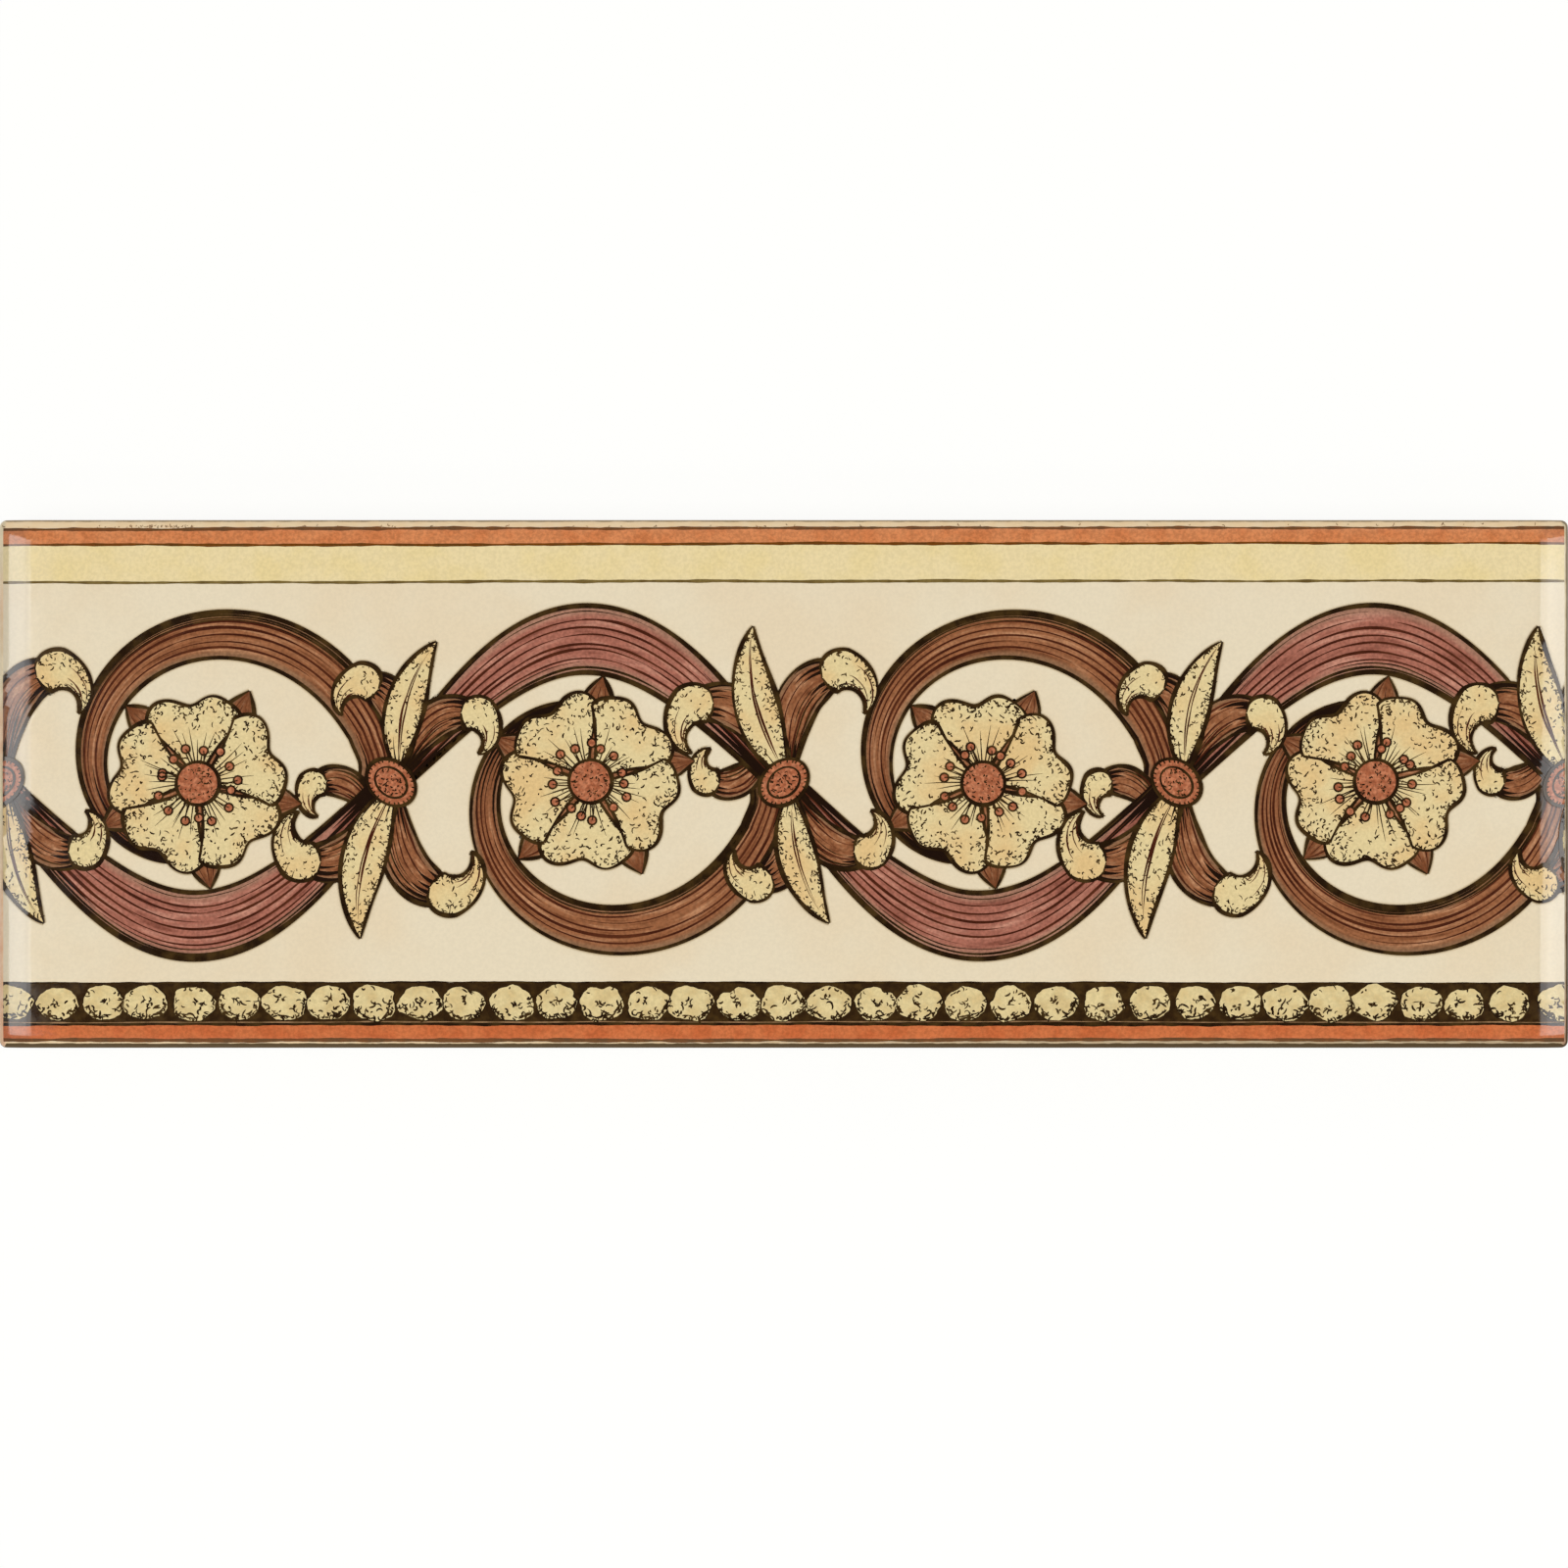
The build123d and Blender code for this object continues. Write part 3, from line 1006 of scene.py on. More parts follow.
def use_group(tree, name, inputs=None):
    """A node group placed in another tree, with that tree's own links and values. The group is
    made the first time that it is used."""
    group = bpy.data.node_groups.get(name)
    if group is None:
        fill, colours, values, outputs = NODE_GROUPS[name]
        group = bpy.data.node_groups.new(name, "ShaderNodeTree")
        for title in colours:
            group.interface.new_socket(title, in_out="INPUT", socket_type="NodeSocketColor")
        for title in values:
            group.interface.new_socket(title, in_out="INPUT", socket_type="NodeSocketFloat")
        for title, kind in outputs.items():
            group.interface.new_socket(title, in_out="OUTPUT", socket_type=kind)
        entry = add_node(group, "NodeGroupInput").outputs
        add_node(group, "NodeGroupOutput", fill(group, entry))
    return add_node(tree, "ShaderNodeGroup", inputs, node_tree=group).outputs


def shared_material(name, dress, *values):
    """The material of that name. The first time that it is used, the function gives its shader
    the finish."""
    material = bpy.data.materials.get(name)
    if material is None:
        material = bpy.data.materials.new(name)
        material.use_nodes = True
        dress(material.node_tree, material.node_tree.nodes["Principled BSDF"], *values)
    return material


def glossy_glaze(tree, shader, colour, painted_shade=None):
    """Gives a shader its colour under the surface of the fired glaze, which is matt where a mask of
    painted shade says so."""
    surface = use_group(tree, "Glaze surface")
    rough = surface["Roughness"]
    if painted_shade is not None:
        rough = between(tree, painted_shade, rough, 0.9)
    inputs = {"Height": surface["Height"], "Strength": 0.35, "Distance": 0.05 * MM}
    tree.links.new(add_node(tree, "ShaderNodeBump", inputs).outputs["Normal"], shader.inputs["Normal"])
    tree.links.new(colour, shader.inputs["Base Color"])
    tree.links.new(rough, shader.inputs["Roughness"])
    shader.inputs["IOR"].default_value = 1.5


def washed(tree, colour):
    """One of the printed colours, with its washes and its grain."""
    wash_colour, wash, grain, scale = FINISHES[colour]
    inputs = {"Colour": rgba(colour), "Wash Colour": rgba(wash_colour)}
    inputs |= {"Wash": wash, "Grain": grain, "Wash Scale": scale}
    return use_group(tree, "Printed colour", inputs)["Colour"]


def dress_washed(tree, shader, colour):
    """Glazed print in one colour with washes of another."""
    glossy_glaze(tree, shader, washed(tree, colour))


def dress_streaked(tree, shader, colour):
    """Glazed print with streaks that follow the shape."""
    inputs = {title.title(): rgba(f"{colour}_{title}") for title in ("light", "dark", "edge")}
    inputs |= {"Colour": rgba(colour), "Grain": STREAK_GRAIN}
    glossy_glaze(tree, shader, use_group(tree, "Drawn streaks", inputs)["Colour"])


def dress_bled(tree, shader, colour):
    """Bled ink: the field's own colour, browner towards the middle of the stroke, where the
    outline lies on it."""
    share = spread(tree, from_half(tree, shares(tree)[1]), 0.15, 0.5, 1.0, 0.0)
    glossy_glaze(tree, shader, blend(tree, share, washed(tree, "field"), rgba(colour)))


def print_material(colour):
    """The finish of each colour of the print. The stipple is in plain ink."""
    colour = "ink" if colour == "stipple" else colour
    others = {"rose": dress_streaked, "sienna": dress_streaked, "bleed": dress_bled}
    return shared_material(f"printed_{colour}", others.get(colour, dress_washed), colour)


def dress_bisque(tree, shader):
    """Pale fired clay: clouds and flecks of a darker colour, and fine pores."""
    place = millimetres(tree)
    cloud = spread(tree, noise(tree, place, 0.09, 4.0), 0.35, 0.75, 0.0, 0.45)
    fleck = spread(tree, noise(tree, place, 2.6, 2.0, 0.7), 0.62, 0.72, 0.0, 0.55)
    clouded = blend(tree, cloud, rgba("bisque"), rgba("bisque_stain"))
    flecked = blend(tree, fleck, clouded, rgba("bisque_stain"))
    rough = spread(tree, noise(tree, place, 3.0), 0.3, 0.7, 0.72, 0.92)
    inputs = {"Height": noise(tree, place, 4.5, 4.0, 0.7), "Strength": 0.6, "Distance": 0.06 * MM}
    tree.links.new(flecked, shader.inputs["Base Color"])
    tree.links.new(rough, shader.inputs["Roughness"])
    tree.links.new(add_node(tree, "ShaderNodeBump", inputs).outputs["Normal"], shader.inputs["Normal"])


def dress_glaze(tree, shader):
    """The glaze: cream, with a dark line of painted shade along the rim where the tile's outline
    shows dark. The line is wide along the foot and the right end, thin along the top, and hardly
    there on the left. Painted shade also darkens the glaze along the foot towards the right."""
    form = bpy.context.scene.tile_form
    place = millimetres(tree)
    parts = split(tree, place)
    inset = split(tree, add_node(tree, "ShaderNodeUVMap", uv_map=EDGE_MAP).outputs["UV"])["X"]
    at_end = spread(tree, calculate(tree, "ABSOLUTE", parts["X"]), HALF_LENGTH - 0.7, HALF_LENGTH - 0.4)

    # The painted shade line, as far in as it is wide, and not down the walls
    sides = spread(tree, parts["Y"], -1, 1, form.shade_line_foot / MM, form.shade_line_top / MM)
    ends = spread(tree, parts["X"], -1, 1, form.shade_line_left / MM, form.shade_line_right / MM)
    uneven = spread(tree, noise(tree, place, 0.8, 3.0), 0.3, 0.7, -0.03, 0.03)
    wide = calculate(tree, "ADD", between(tree, at_end, sides, ends), uneven)
    within = calculate(tree, "SUBTRACT", wide, inset)
    broken = times(tree, spread(tree, within, -0.03, 0.03), spread(tree, inset, -1.3, -0.6))

    # The ends have a darker glaze, partly painted shade, with patches that took up colour, and the
    # whole has clouds as pale as the field
    patches = spread(tree, noise(tree, place, 0.07, 1.0), 0.42, 0.58)
    beside = blend(tree, patches, rgba("end_glaze_with_shade"), rgba("glaze_stain"))
    tinted = blend(tree, at_end, rgba("glaze"), beside)
    cloud = spread(tree, noise(tree, place, 0.6, 3.0), 0.35, 0.7, 0.0, 0.3)
    thick = blend(tree, cloud, tinted, rgba("field"))

    # Painted shade darkens the glaze along the foot, more the further right, and the line more there
    thinner = spread(tree, parts["X"], -60, 50, 0.0, 0.42)
    foot = times(tree, spread(tree, parts["Y"], 0, -1), thinner)
    painted_shade = blend(tree, foot, thick, rgba("rim_shade"))
    # The painted shade line is darker towards the foot
    lower = spread(tree, parts["Y"], HALF_WIDTH, -HALF_WIDTH, 0.65, 0.95)
    dark = blend(tree, times(tree, broken, lower), painted_shade, rgba("rim_shade"))
    # The glaze is matt along the painted shade line
    glossy_glaze(tree, shader, dark, broken)


def dress_floor(tree, shader):
    """A pale matt paper with a faint mottle. The eye sees it nearly plain white, also in what
    mirrors it, and it is clear from below."""
    setup = bpy.context.scene.stage_setup
    colour = (*setup.floor_tone, 1)
    shade = tuple(0.985 * value for value in setup.floor_tone) + (1,)
    mottle = spread(tree, noise(tree, millimetres(tree), 0.02), 0.3, 0.7)
    tree.links.new(blend(tree, mottle, colour, shade), shader.inputs["Base Color"])
    shader.inputs["Roughness"].default_value = 0.95
    rays = add_node(tree, "ShaderNodeLightPath").outputs
    seen = calculate(tree, "ADD", rays["Is Camera Ray"], rays["Is Glossy Ray"])
    seen = calculate(tree, "ADD", seen, rays["Is Transmission Ray"])
    glow = add_node(tree, "ShaderNodeEmission", {"Color": colour, "Strength": 1.0}).outputs[0]
    inputs = {0: times(tree, seen, setup.floor_glow), 1: shader.outputs[0], 2: glow}
    above = add_node(tree, "ShaderNodeMixShader", inputs).outputs[0]
    below = add_node(tree, "ShaderNodeNewGeometry").outputs["Backfacing"]
    clear = add_node(tree, "ShaderNodeBsdfTransparent").outputs[0]
    sided = add_node(tree, "ShaderNodeMixShader", {0: below, 1: above, 2: clear}).outputs[0]
    tree.links.new(sided, tree.nodes["Material Output"].inputs["Surface"])


# Operators


class TILE_OT_bisque(bpy.types.Operator):
    """Give the pressed body its unglazed finish: pale fired clay with speckles and fine pores"""

    bl_idname = "border_tile.bisque"
    bl_label = "Bisque body"

    def execute(self, context):
        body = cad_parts[TILE]
        if not body.material_slots:
            body.data.materials.append(None)
        for slot in body.material_slots:
            slot.material = shared_material("bisque", dress_bisque)
        return {"FINISHED"}


class TILE_OT_glaze(bpy.types.Operator):
    """Coat the face, the rim and the upper edge walls with glaze, down to an uneven line"""

    bl_idname = "border_tile.glaze"
    bl_label = "Glaze"

    def execute(self, context):
        form = context.scene.tile_form
        coat = form.glaze_coat / MM
        outer, lining = glaze_rings(form, coat), glaze_rings(form, -LINING)
        rings, around = outer[0].shape
        place, z, flat, inset, travel = (np.stack(pair).ravel() for pair in zip(outer, lining))

        at = np.arange(rings * around).reshape(rings, around)
        on = np.roll(at, -1, axis=1)
        skin = quads(at[:-1], on[:-1], on[1:], at[1:])
        underside = quads(at[1:], on[1:], on[:-1], at[:-1]) + at.size
        lip = quads(at[0] + at.size, on[0] + at.size, on[0], at[0])
        faces = np.concatenate([skin, underside, lip])
        corners = faces.ravel()
        turned = np.repeat((0, 1, 0), (skin.size, underside.size, lip.size))
        unrolled = flat[corners] / (1 + 2 * form.glaze_reach / MM / HALF_WIDTH)
        maps = {PLAN_MAP: on_plan(unrolled, turned), EDGE_MAP: np.stack([inset, travel], -1)[corners]}
        points = np.stack([place.real, place.imag, z], -1)
        material = shared_material("glaze", dress_glaze)
        piece = make_piece("glaze", points, corners, np.full(len(faces), 4), maps, material)
        work = bmesh.new()
        work.from_mesh(piece.data)
        bmesh.ops.remove_doubles(work, verts=work.verts, dist=1e-7)
        work.to_mesh(piece.data)
        work.free()
        self.check_cover(form, coat)
        return {"FINISHED"}

    def check_cover(self, form, coat):
        """Raises an error if the pressed body would show through the coat anywhere on its face."""
        vertices = np.empty(3 * len(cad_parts[TILE].data.vertices))
        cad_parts[TILE].data.vertices.foreach_get("co", vertices)
        x, y, z = vertices.reshape(-1, 3).T / MM
        inset = np.minimum(HALF_LENGTH - abs(x), HALF_WIDTH - abs(y))
        face = (inset > form.rim_radius / MM) & (z > THICKNESS - 1)
        gap = abs(face_height(x[face] + 1j * y[face]) - z[face]).max()
        if gap > coat / 2:
            raise RuntimeError(f"The face's formula and the pressed body differ by {gap:.3f} mm.")


def rounded_outline(inset, corner):
    """A rectangle with rounded corners, that far inside the tile's outline: where its points lie,
    and which way is outwards there. Its points crowd towards the corners."""
    half = np.array([HALF_LENGTH - inset - corner, HALF_WIDTH - inset - corner])
    quarter = np.radians(np.linspace(0, 90, 9))
    points, outwards = [], []
    for turn in range(4):
        heading = 1j**turn
        reach, run = half if turn % 2 == 0 else half[::-1]
        count = 25 if turn % 2 == 0 else 61
        share = np.sin(np.linspace(-pi / 2, pi / 2, count))
        points.append(heading * (reach + corner + 1j * run * share[:-1]))
        outwards.append(np.full(count - 1, heading))
        arc = np.exp(1j * quarter[:-1])
        points.append(heading * (reach + 1j * run + corner * arc))
        outwards.append(heading * arc)
    return np.concatenate(points), np.concatenate(outwards)


def glaze_rings(form, coat):
    """The glaze as rings round the tile, from its lower edge up the walls, over the rim and in to
    the middle of the face.

    The rim is the path of a ball that touches the face and the wall from inside: its middle lies
    the rim radius in from the outline, and as deep as the two cushions, each taken in by that
    radius, put it. A point of the rim is its middle plus the radius and the coat, times the sine
    of the lean outwards and the cosine of the lean upwards. Every ring of the face lies at the
    face's own height, plus the coat.

    Returns, in one row for each ring, its points, their heights, where they lie when the coat is
    unrolled, how far in from the outline they are, and how far along it.
    """
    rim, corner = form.rim_radius / MM, form.corner_radius / MM
    middle, outwards = rounded_outline(rim, corner - rim)
    depth, slopes = 0, []
    for place, half, run, drop in (
        (middle.real, HALF_LENGTH, form.end_run / MM, form.end_drop / MM),
        (middle.imag, HALF_WIDTH, form.side_run / MM, form.side_drop / MM),
    ):
        radius = (run**2 + drop**2) / (2 * drop)
        beyond = np.clip(abs(place) - (half - run), 0, run)
        fall = np.sqrt((radius - rim) ** 2 - beyond**2)
        depth = depth + radius - rim - fall
        slopes.append(np.sign(place) * beyond / fall)
    height = THICKNESS - rim - depth
    lean = np.arctan(outwards.real * slopes[0] + outwards.imag * slopes[1])

    # The walls, from an uneven lower edge to where the rim starts
    travel = np.concatenate([[0], np.cumsum(abs(np.diff(middle + outwards * rim)))])
    total = travel[-1] + abs(middle[-1] - middle[0])
    waves = 2 * pi * travel / total
    wander = sum(np.sin(count * waves + phase) / size for count, phase, size in (
        (5, 0.3, 1.6), (11, 1.9, 2.2), (23, 4.1, 2.8), (37, 2.2, 4.5), (61, 5.0, 6.0)
    ))
    lowest = THICKNESS - form.glaze_reach / MM + wander * form.glaze_wander / MM
    rings = []
    for share in np.linspace(0, 1, 6)[:-1]:
        z = lowest + (height - lowest) * share
        # The coat thins out to a rounded lip at its lower edge
        thick = coat * min(1, 0.35 + 2 * share) if coat > 0 else coat
        unrolled = middle + outwards * (rim * pi / 2 + height - z)
        rings.append((middle + outwards * (rim + thick), z, unrolled, z - height - rim))
    for share in np.linspace(0, 1, 8):
        angle = pi / 2 + (lean - pi / 2) * share
        place = middle + outwards * (rim + coat) * np.sin(angle)
        z = height + (rim + coat) * np.cos(angle)
        rings.append((place, z, middle + outwards * rim * angle, rim - rim * np.sin(angle)))

    # The face, in rings that crowd over its cushions
    for inset in (0.7, 0.9, 1.15, 1.45, 1.8, 2.2, 2.6, 3.0, 3.4, 4.4, 9.0, 17.0, HALF_WIDTH):
        sharp = max(corner - rim, corner - inset) * (HALF_WIDTH - inset) / (HALF_WIDTH - rim)
        place, _ = rounded_outline(inset, sharp)
        rings.append((place, face_height(place) + coat, place, np.full(len(place), inset)))
    place, z, unrolled, inset = (np.array(rows) for rows in zip(*rings))
    return place, z, unrolled, inset, np.broadcast_to(travel, z.shape)


def band_line(height, x):
    """A line of the print at the places x: level at the tile's foot, and the higher up it lies,
    the more it drops to the left, because the print was laid a little askew."""
    heights = bpy.context.scene.band_heights
    share = max(0, height / heights.print_top)
    return height / MM + heights.skew / MM * share * x / HALF_LENGTH / 2


class TILE_OT_bands(bpy.types.Operator):
    """Print the field, the cream band, the two stripes, the dark band of beads and the keylines"""

    bl_idname = "border_tile.bands"
    bl_label = "Bands and keylines"

    def execute(self, context):
        heights = context.scene.band_heights
        bands = (
            ("stripe", "print_top", "stripe_foot"), ("cream", "stripe_foot", "cream_foot"),
            ("field", "cream_foot", "bead_top"), ("bead_ground", "bead_top", "bead_foot"),
            ("lower_stripe", "bead_foot", "print_foot"),
        )
        art = Drawing(3)
        form = context.scene.tile_form
        end = HALF_LENGTH - form.print_margin / MM
        flat = HALF_LENGTH - form.end_run / MM
        x = np.concatenate([
            np.linspace(-end, -flat, 12)[:-1], np.linspace(-flat, flat, 60), np.linspace(flat, end, 12)[1:]
        ])
        for colour, top, foot in bands:
            top, foot = band_line(getattr(heights, top), x), band_line(getattr(heights, foot), x)
            # A band that reaches a side cushion has more points across it, to follow it down
            rolls = max(top.max(), -foot.min()) > HALF_WIDTH - form.side_run / MM
            share = np.linspace(0, 1, 9 if rolls else 3)
            across = foot[:, None] * (1 - share) + top[:, None] * share
            art.film(colour, x[:, None] + 1j * across, BAND_LEVEL)
        art.lay("print", trimmed=False)
        self.keylines(heights, end)
        return {"FINISHED"}

    def keylines(self, heights, end):
        """Lines along the bands: they waver a little, swell and thin, and are broken in places."""
        art = Drawing(5)
        u = np.linspace(0, 1, 620)
        x = (2 * u - 1) * end
        seam = heights.bead_foot + 0.16 * MM
        under_beads = heights.bead_foot - 0.05 * MM
        lines = {  # height, half-width and unevenness of each line
            "keyline": (
                (heights.print_top, 0.13, 0.45), (heights.stripe_foot, 0.12, 0.35),
                (heights.print_foot, 0.165, 0.35),
            ),
            "olive": ((heights.cream_foot, 0.13, 0.3),),
            "seam": ((seam, 0.045, 0.6),),
            "ink": ((heights.bead_top, 0.07, 0.6), (under_beads, 0.13, 0.4)),
        }
        for colour, places in lines.items():
            strokes = []
            for height, weight, uneven in places:
                slow = art.waver(u, 1, 0.05) + art.waver(7 * u, 1, 0.03)
                rough = art.waver(u, 1, 0.5) + art.waver(13 * u, 1, 0.7) + art.waver(41 * u, 1, 0.5)
                halves = np.clip(weight * (1 + uneven * rough), 0.03, 0.24)
                strokes.append((x + 1j * (band_line(height, x) + slow), halves, KEYLINE_LEVEL))
            lay_ink(f"print_{colour}", strokes, print_material(colour))

        # Specks of colour that missed the edge of the print, nearly half of them by its left end
        count, crowded = 90, 40
        along = art.random.uniform(-end, end, count)
        along[:crowded] = art.random.normal(-0.8 * end, 2.4, crowded)
        above = band_line(heights.print_top, along) + art.random.uniform(0.16, 0.34, count)
        specks = Drawing(7)
        specks.squiggles(along + 1j * above, KEYLINE_LEVEL, 0.3, 0.035)
        lay_ink("print_specks", specks.strokes["stipple"], print_material("seam"))


class TILE_OT_beads(bpy.types.Operator):
    """Print the row of pebble-like beads, each with its own outline and worm-like stippling"""

    bl_idname = "border_tile.beads"
    bl_label = "Row of beads"

    def execute(self, context):
        heights = context.scene.band_heights
        pitch = heights.bead_pitch / MM
        middle = (heights.bead_top + heights.bead_foot) / 2 / MM
        art = Drawing(11)
        count = int(2 * HALF_LENGTH / pitch) + 1
        for number in range(count):
            x = (number - (count - 1) / 2) * pitch + art.random.normal(0, 0.12)
            centre = x + 1j * (middle + art.random.normal(0, 0.05))
            # Neighbours may touch, so they lie at two levels
            self.draw_bead(art, heights, centre, BEAD_LEVEL + 0.2 * (number % 2))
        art.lay("bead")
        return {"FINISHED"}

    def draw_bead(self, art, heights, centre, level):
        """One bead: a rounded polygon, whose radius at an angle is the cosines towards its sides,
        each over that side's distance, to a high power, added up and taken back to their root. It
        has a rough edge, and may have a notch in it."""
        half_width, half_height = heights.bead_width / 2 / MM, heights.bead_height / 2 / MM
        sides = art.random.integers(4, 7)
        facing = 2 * pi * (np.arange(sides) + art.random.uniform(-0.14, 0.14, sides)) / sides
        facing = facing + art.random.uniform(0, 2 * pi)
        apart = art.random.uniform(0.9, 1.0, sides)
        phase = art.random.uniform(0, 2 * pi, 3)
        notch_at = art.random.normal(pi / 2, 0.9)
        notch = max(0, art.random.uniform(-0.3, 0.26))
        widened = art.random.uniform(0.94, 1.08)

        def bead(points):
            angle = np.angle(points)
            towards = np.cos(angle[..., None] - facing) / apart
            reach = np.minimum((np.clip(towards, 0, None) ** 6).sum(-1) ** (-1 / 6), 1.07)
            rough = 0.012 * sum(np.cos((9 + 5 * k) * angle + phase[k]) for k in range(3))
            off = np.angle(np.exp(1j * (angle - notch_at)))
            reach = reach * (1 + (rough - notch * np.exp(-((off / 0.26) ** 2))) * abs(points) ** 2)
            return centre + reach * (widened * half_width * points.real + 1j * half_height * points.imag)

        art.film("bead", bead(disc_grid(15)), level)
        u = np.linspace(0, 1, 49)
        art.line(bead(np.exp(2j * pi * u)), 0.045 * (1 + art.waver(u, 1, 0.5)), level)

        # Four cracks along the lower edge
        s = np.linspace(0, 1, 9)
        turn = art.random.uniform(-0.95 * pi, 0.05 * pi, (4, 1))
        turn = turn + art.random.uniform(0.2, 0.75, (4, 1)) * s
        reach = art.random.uniform(0.72, 0.9, (4, 1))
        reach = reach + 0.08 * (s - 0.5) * art.random.normal(0, 1, (4, 1))
        art.line(bead(reach * np.exp(1j * turn)), 0.1 * taper(s, 0.4, 0.6), level, "stipple")

        # Squiggles: most of them by the lower edge, some all round, and some in a heap
        low = np.exp(1j * art.random.uniform(-0.95 * pi, 0.1 * pi, 25))
        inwards = np.clip(art.random.exponential(0.17, 25), 0.1, 0.55)
        art.squiggles(bead((1 - inwards) * low), level, 0.62, 0.075)
        around = np.exp(1j * art.random.uniform(0, 2 * pi, 9))
        art.squiggles(bead(art.random.uniform(0.78, 0.92, 9) * around), level, 0.45, 0.065)
        heap = art.random.uniform(0, 0.35) * np.exp(1j * art.random.uniform(0, 2 * pi))
        heap = heap + art.random.normal(0, 0.14, 7) + 1j * art.random.normal(0, 0.14, 7)
        art.squiggles(bead(heap), level, 0.55, 0.075)


class TILE_OT_scroll(bpy.types.Operator):
    """Print the running scroll: the stems, the branches that wind in from them, and the knobs"""

    bl_idname = "border_tile.scroll"
    bl_label = "Scroll stems"

    def execute(self, context):
        form = context.scene.scroll_form
        art = Drawing(17)
        for cell in cells():
            draw_branch(art, cell, BRANCH_LEVEL)
            draw_stem(art, cell, STEM_LEVEL)
        art.lay("scroll")
        knobs = Drawing(19)
        for cell in cells():
            draw_knob(knobs, cell, form.half_wave / MM / 2, form.knob_radius / MM, KNOB_LEVEL)
        knobs.lay("knob")
        return {"FINISHED"}


class TILE_OT_leaves(bpy.types.Operator):
    """Print the sprays of leaves at the knobs and the hooked leaf inside each hollow"""

    bl_idname = "border_tile.leaves"
    bl_label = "Leaves"

    def execute(self, context):
        art = Drawing(23)
        for cell in cells():
            draw_hooked_leaf(
                art, cell, 17.2 - 2.9j, radians(122), 10.4, radians(215), 1.35, HOLLOW_LEAF_LEVEL, power=1.9
            )
            draw_spray(art, cell, -18.6 + 0.5j, radians(103), 12.8, radians(12), 1.40, SPRAY_LEVEL)
            draw_spray(art, cell, 19.8 + 1.0j, radians(74), 11.2, radians(10), 1.30, SPRAY_LEVEL)
        art.lay("leaf")
        return {"FINISHED"}


class TILE_OT_rosettes(bpy.types.Operator):
    """Print the rosettes that fill the hollows"""

    bl_idname = "border_tile.rosettes"
    bl_label = "Rosettes"

    def execute(self, context):
        art = Drawing(29)
        radius = context.scene.scroll_form.rosette_radius / MM
        for cell in cells():
            draw_rosette(art, cell, 0.3 - 0.1j, radius, ROSETTE_LEVEL)
        art.lay("rosette")
        return {"FINISHED"}


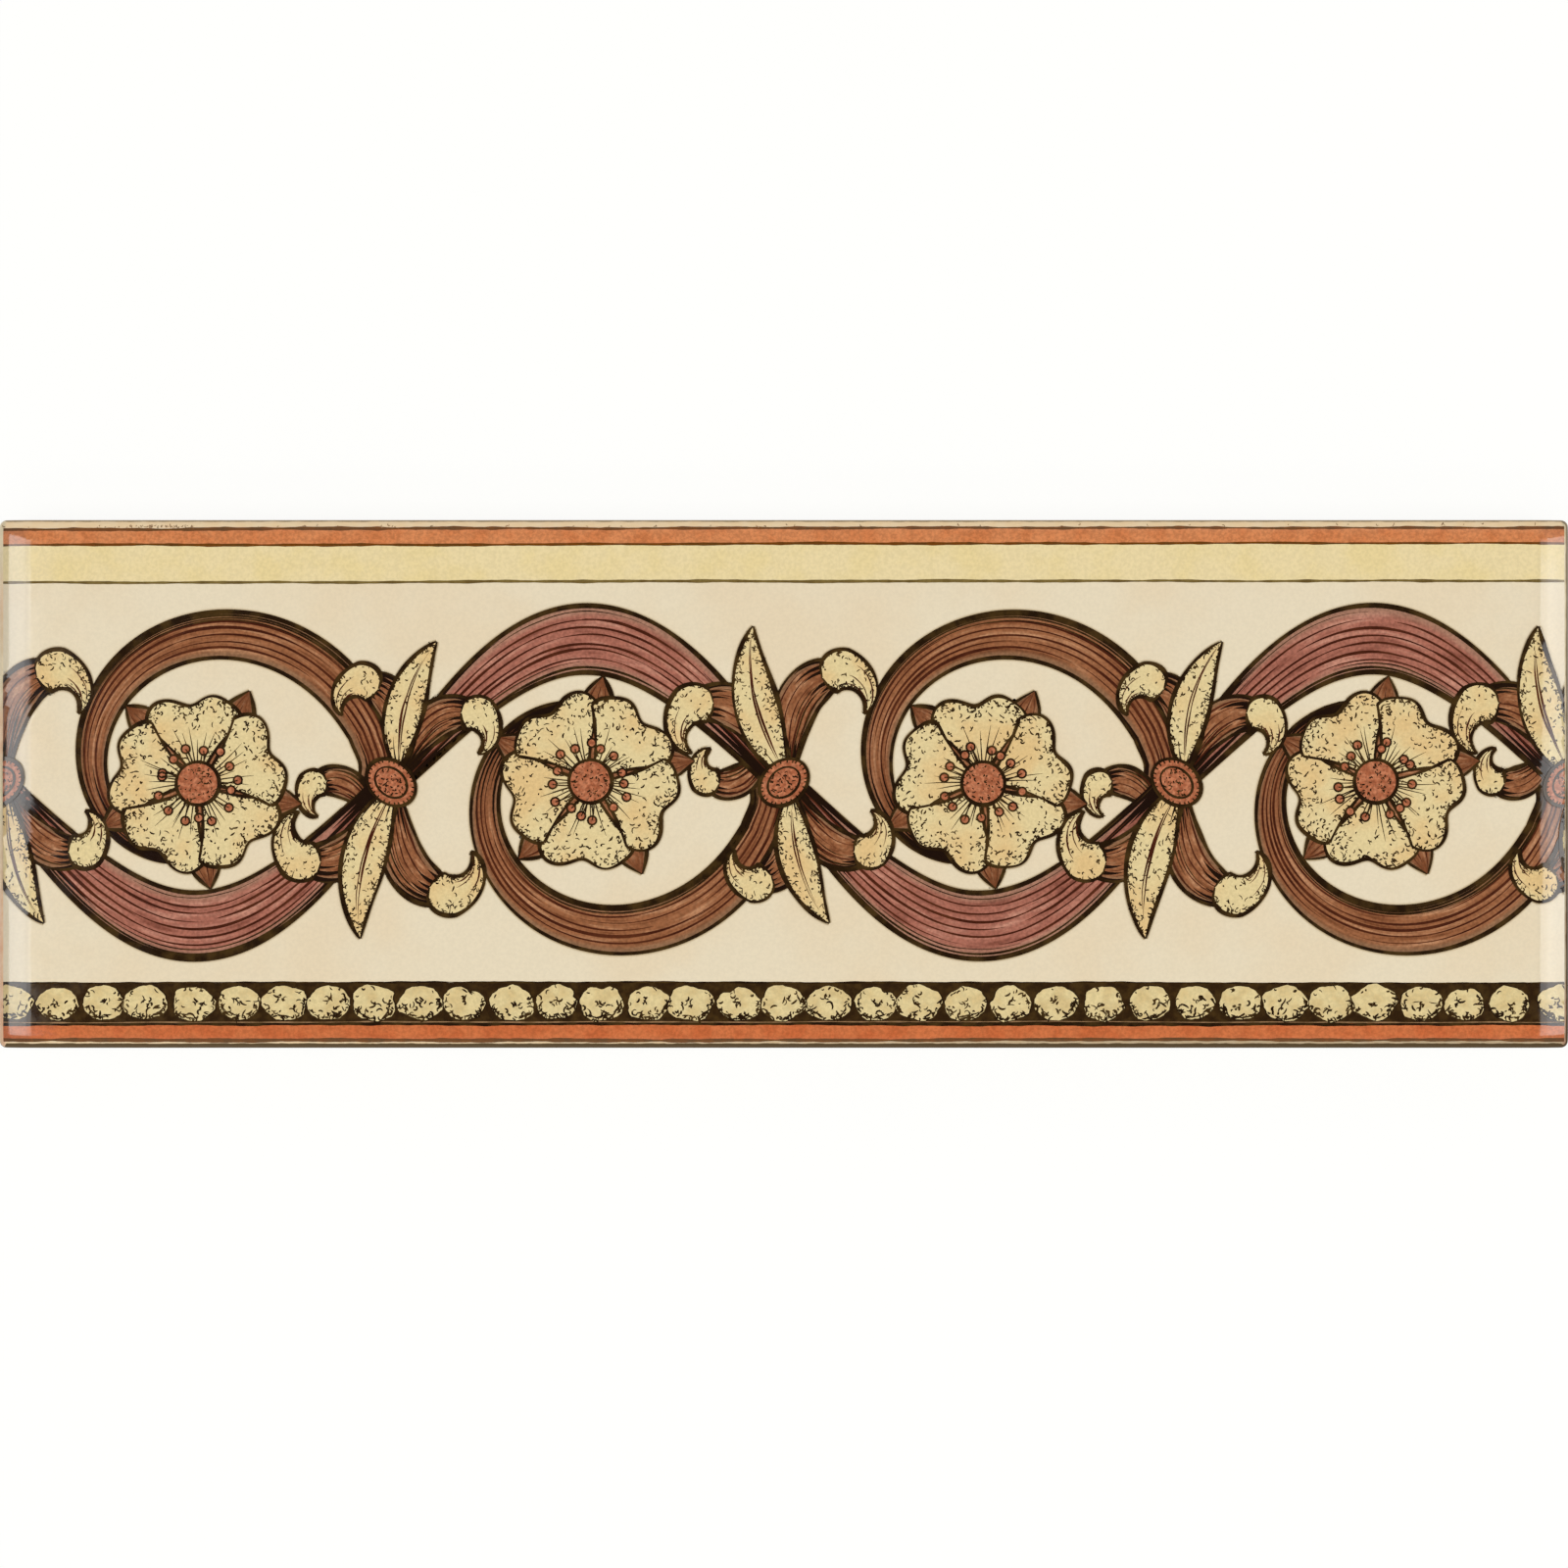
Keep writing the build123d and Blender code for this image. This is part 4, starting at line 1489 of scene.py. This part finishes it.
class TILE_OT_stage(bpy.types.Operator):
    """Set up the floor, the camera that looks straight down, the soft boxes and the sky"""

    bl_idname = "border_tile.stage"
    bl_label = "Stage"

    def execute(self, context):
        setup = context.scene.stage_setup
        eye = self.set_camera(setup)
        self.lay_floor(setup)
        self.hang_lamps(setup, eye)
        self.light_sky(setup)
        context.scene.view_settings.view_transform = "Standard"
        return {"FINISHED"}

    def light_sky(self, setup):
        """Plain surroundings, dim straight above, where the level face mirrors them."""
        world = bpy.data.worlds.new("sky")
        world.use_nodes = True
        tree = world.node_tree
        place = add_node(tree, "ShaderNodeTexCoord").outputs["Generated"]
        height = split(tree, place)["Z"]
        low, high = np.cos((setup.overhead_end, setup.overhead_start))
        strength = spread(tree, height, low, high, setup.sky, setup.sky_overhead)
        background = tree.nodes["Background"]
        background.inputs["Color"].default_value = (1, 1, 1, 1)
        tree.links.new(strength, background.inputs["Strength"])
        bpy.context.scene.world = world

    def lay_floor(self, setup):
        """A flat square under the tile, open where the tile hides it, so that the back of the tile
        can be looked at too: a grid of three by three faces without its middle one."""
        half, lap = setup.floor_size / 2, setup.floor_lap
        across = (-half, lap - HIGH.x, HIGH.x - lap, half)
        up = (-half, lap - HIGH.y, HIGH.y - lap, half)
        x, y = np.meshgrid(across, up)
        at = np.arange(16).reshape(4, 4)
        faces = quads(at[:-1, :-1], at[:-1, 1:], at[1:, 1:], at[1:, :-1])
        faces = np.delete(faces, 4, axis=0)
        points = np.stack([x, y, np.full_like(x, -setup.floor_gap)], -1).reshape(-1, 3)
        mesh = bpy.data.meshes.new("floor")
        mesh.from_pydata(points.tolist(), [], faces.tolist())
        mesh.materials.append(shared_material("floor_paper", dress_floor))
        floor = bpy.data.objects.new("floor", mesh)
        bpy.context.scene.collection.objects.link(floor)

    def hang_lamps(self, setup, eye):
        """Two side boxes and a front box, that lie flat above the tile. A side box is made of
        strips: the first ones are dimmer, so that its glare starts softly, and the further out
        they are the further up they reach, so that it slants off at the upper corners.

        A level face mirrors to the eye only the gap between the side boxes. At its end the eye is
        seen at a lean whose tangent is the end's distance from the middle over the eye's height,
        and a side box starts a little beyond that lean, so that it shines in the end cushions
        only. The front box is mirrored by the rim alone.
        """
        flat = HIGH.x - bpy.context.scene.tile_form.end_run
        rise = setup.lamp_height - HIGH.z
        lean = np.arctan(flat / (eye.z - HIGH.z))
        near = HIGH.y + rise * np.tan(setup.front_start)
        far = HIGH.y + rise * np.tan(setup.front_end)
        boxes = [("front_box", (0, -(near + far) / 2), (setup.front_width, far - near), setup.front_glow)]
        for side, sign, lead, end, glow in (
            ("left", -1, setup.left_lead, setup.left_end, setup.left_glow),
            ("right", 1, setup.right_lead, setup.right_end, setup.right_glow),
        ):
            inner = flat + rise * np.tan(lean + lead)
            outer = HIGH.x + rise * np.tan(end)
            edges = np.linspace(inner, outer, SIDE_STRIPS + 1)
            for number, (start, stop) in enumerate(zip(edges[:-1], edges[1:])):
                share = (number + 0.5) / SIDE_STRIPS
                top = setup.lamp_top_inner * (1 - share) + setup.lamp_top_outer * share
                place = (sign * (start + stop) / 2, (top - setup.lamp_foot) / 2)
                size = (stop - start, top + setup.lamp_foot)
                boxes.append((f"{side}_box_{number}", place, size, glow * min(1, 0.55 + 2.4 * share)))
        for name, place, size, glow in boxes:
            lamp = bpy.data.lights.new(name, "AREA")
            lamp.shape = "RECTANGLE"
            lamp.size, lamp.size_y = size
            lamp.energy = glow * pi * size[0] * size[1]
            hung = bpy.data.objects.new(name, lamp)
            hung.location = (*place, setup.lamp_height)
            bpy.context.scene.collection.objects.link(hung)

    def set_camera(self, setup):
        """Looks straight down from where the tile's outline, at the height where its walls meet
        the rim, just fills the frame from end to end. Returns the place of the eye."""
        form = bpy.context.scene.tile_form
        camera = bpy.data.cameras.new("camera")
        camera.lens = setup.lens
        camera.sensor_width = setup.sensor
        camera.sensor_fit = "HORIZONTAL"
        above = 2 * (HIGH.x + form.glaze_coat) * setup.lens / setup.sensor
        held = bpy.data.objects.new("camera", camera)
        held.location = (setup.aside, 0, HIGH.z - form.end_drop - form.rim_radius + above)
        bpy.context.scene.collection.objects.link(held)
        bpy.context.scene.camera = held
        return held.location


class TILE_PT_sidebar(bpy.types.Panel):
    """Sizes and colours of the tile, and the buttons that make it"""

    bl_label = "Border Tile"
    bl_idname = "TILE_PT_sidebar"
    bl_space_type = "VIEW_3D"
    bl_region_type = "UI"
    bl_category = "Border Tile"

    def draw(self, context):
        layout = self.layout
        for group, title in GROUPS.items():
            box = layout.box()
            for name in group.__annotations__:
                box.prop(getattr(context.scene, title), name)
        for operator in OPERATORS:
            layout.operator(operator.bl_idname)


GROUPS = {
    TileForm: "tile_form",
    BandHeights: "band_heights",
    ScrollForm: "scroll_form",
    PrintTones: "print_tones",
    StageSetup: "stage_setup",
}
OPERATORS = (
    TILE_OT_bisque, TILE_OT_glaze, TILE_OT_bands, TILE_OT_beads, TILE_OT_scroll, TILE_OT_leaves,
    TILE_OT_rosettes, TILE_OT_stage,
)


def register():
    """Registers the sizes, colours, operators and the panel."""
    for item in (*GROUPS, *OPERATORS, TILE_PT_sidebar):
        bpy.utils.register_class(item)
    for group, name in GROUPS.items():
        setattr(bpy.types.Scene, name, PointerProperty(type=group))


def unregister():
    """Takes them away again."""
    for name in GROUPS.values():
        delattr(bpy.types.Scene, name)
    for item in (*GROUPS, *OPERATORS, TILE_PT_sidebar):
        bpy.utils.unregister_class(item)


def main():
    """Makes the whole tile and its stage."""
    register()
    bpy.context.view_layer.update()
    for operator in OPERATORS:
        group, name = operator.bl_idname.split(".")
        getattr(getattr(bpy.ops, group), name)()


if __name__ == "__main__":
    main()
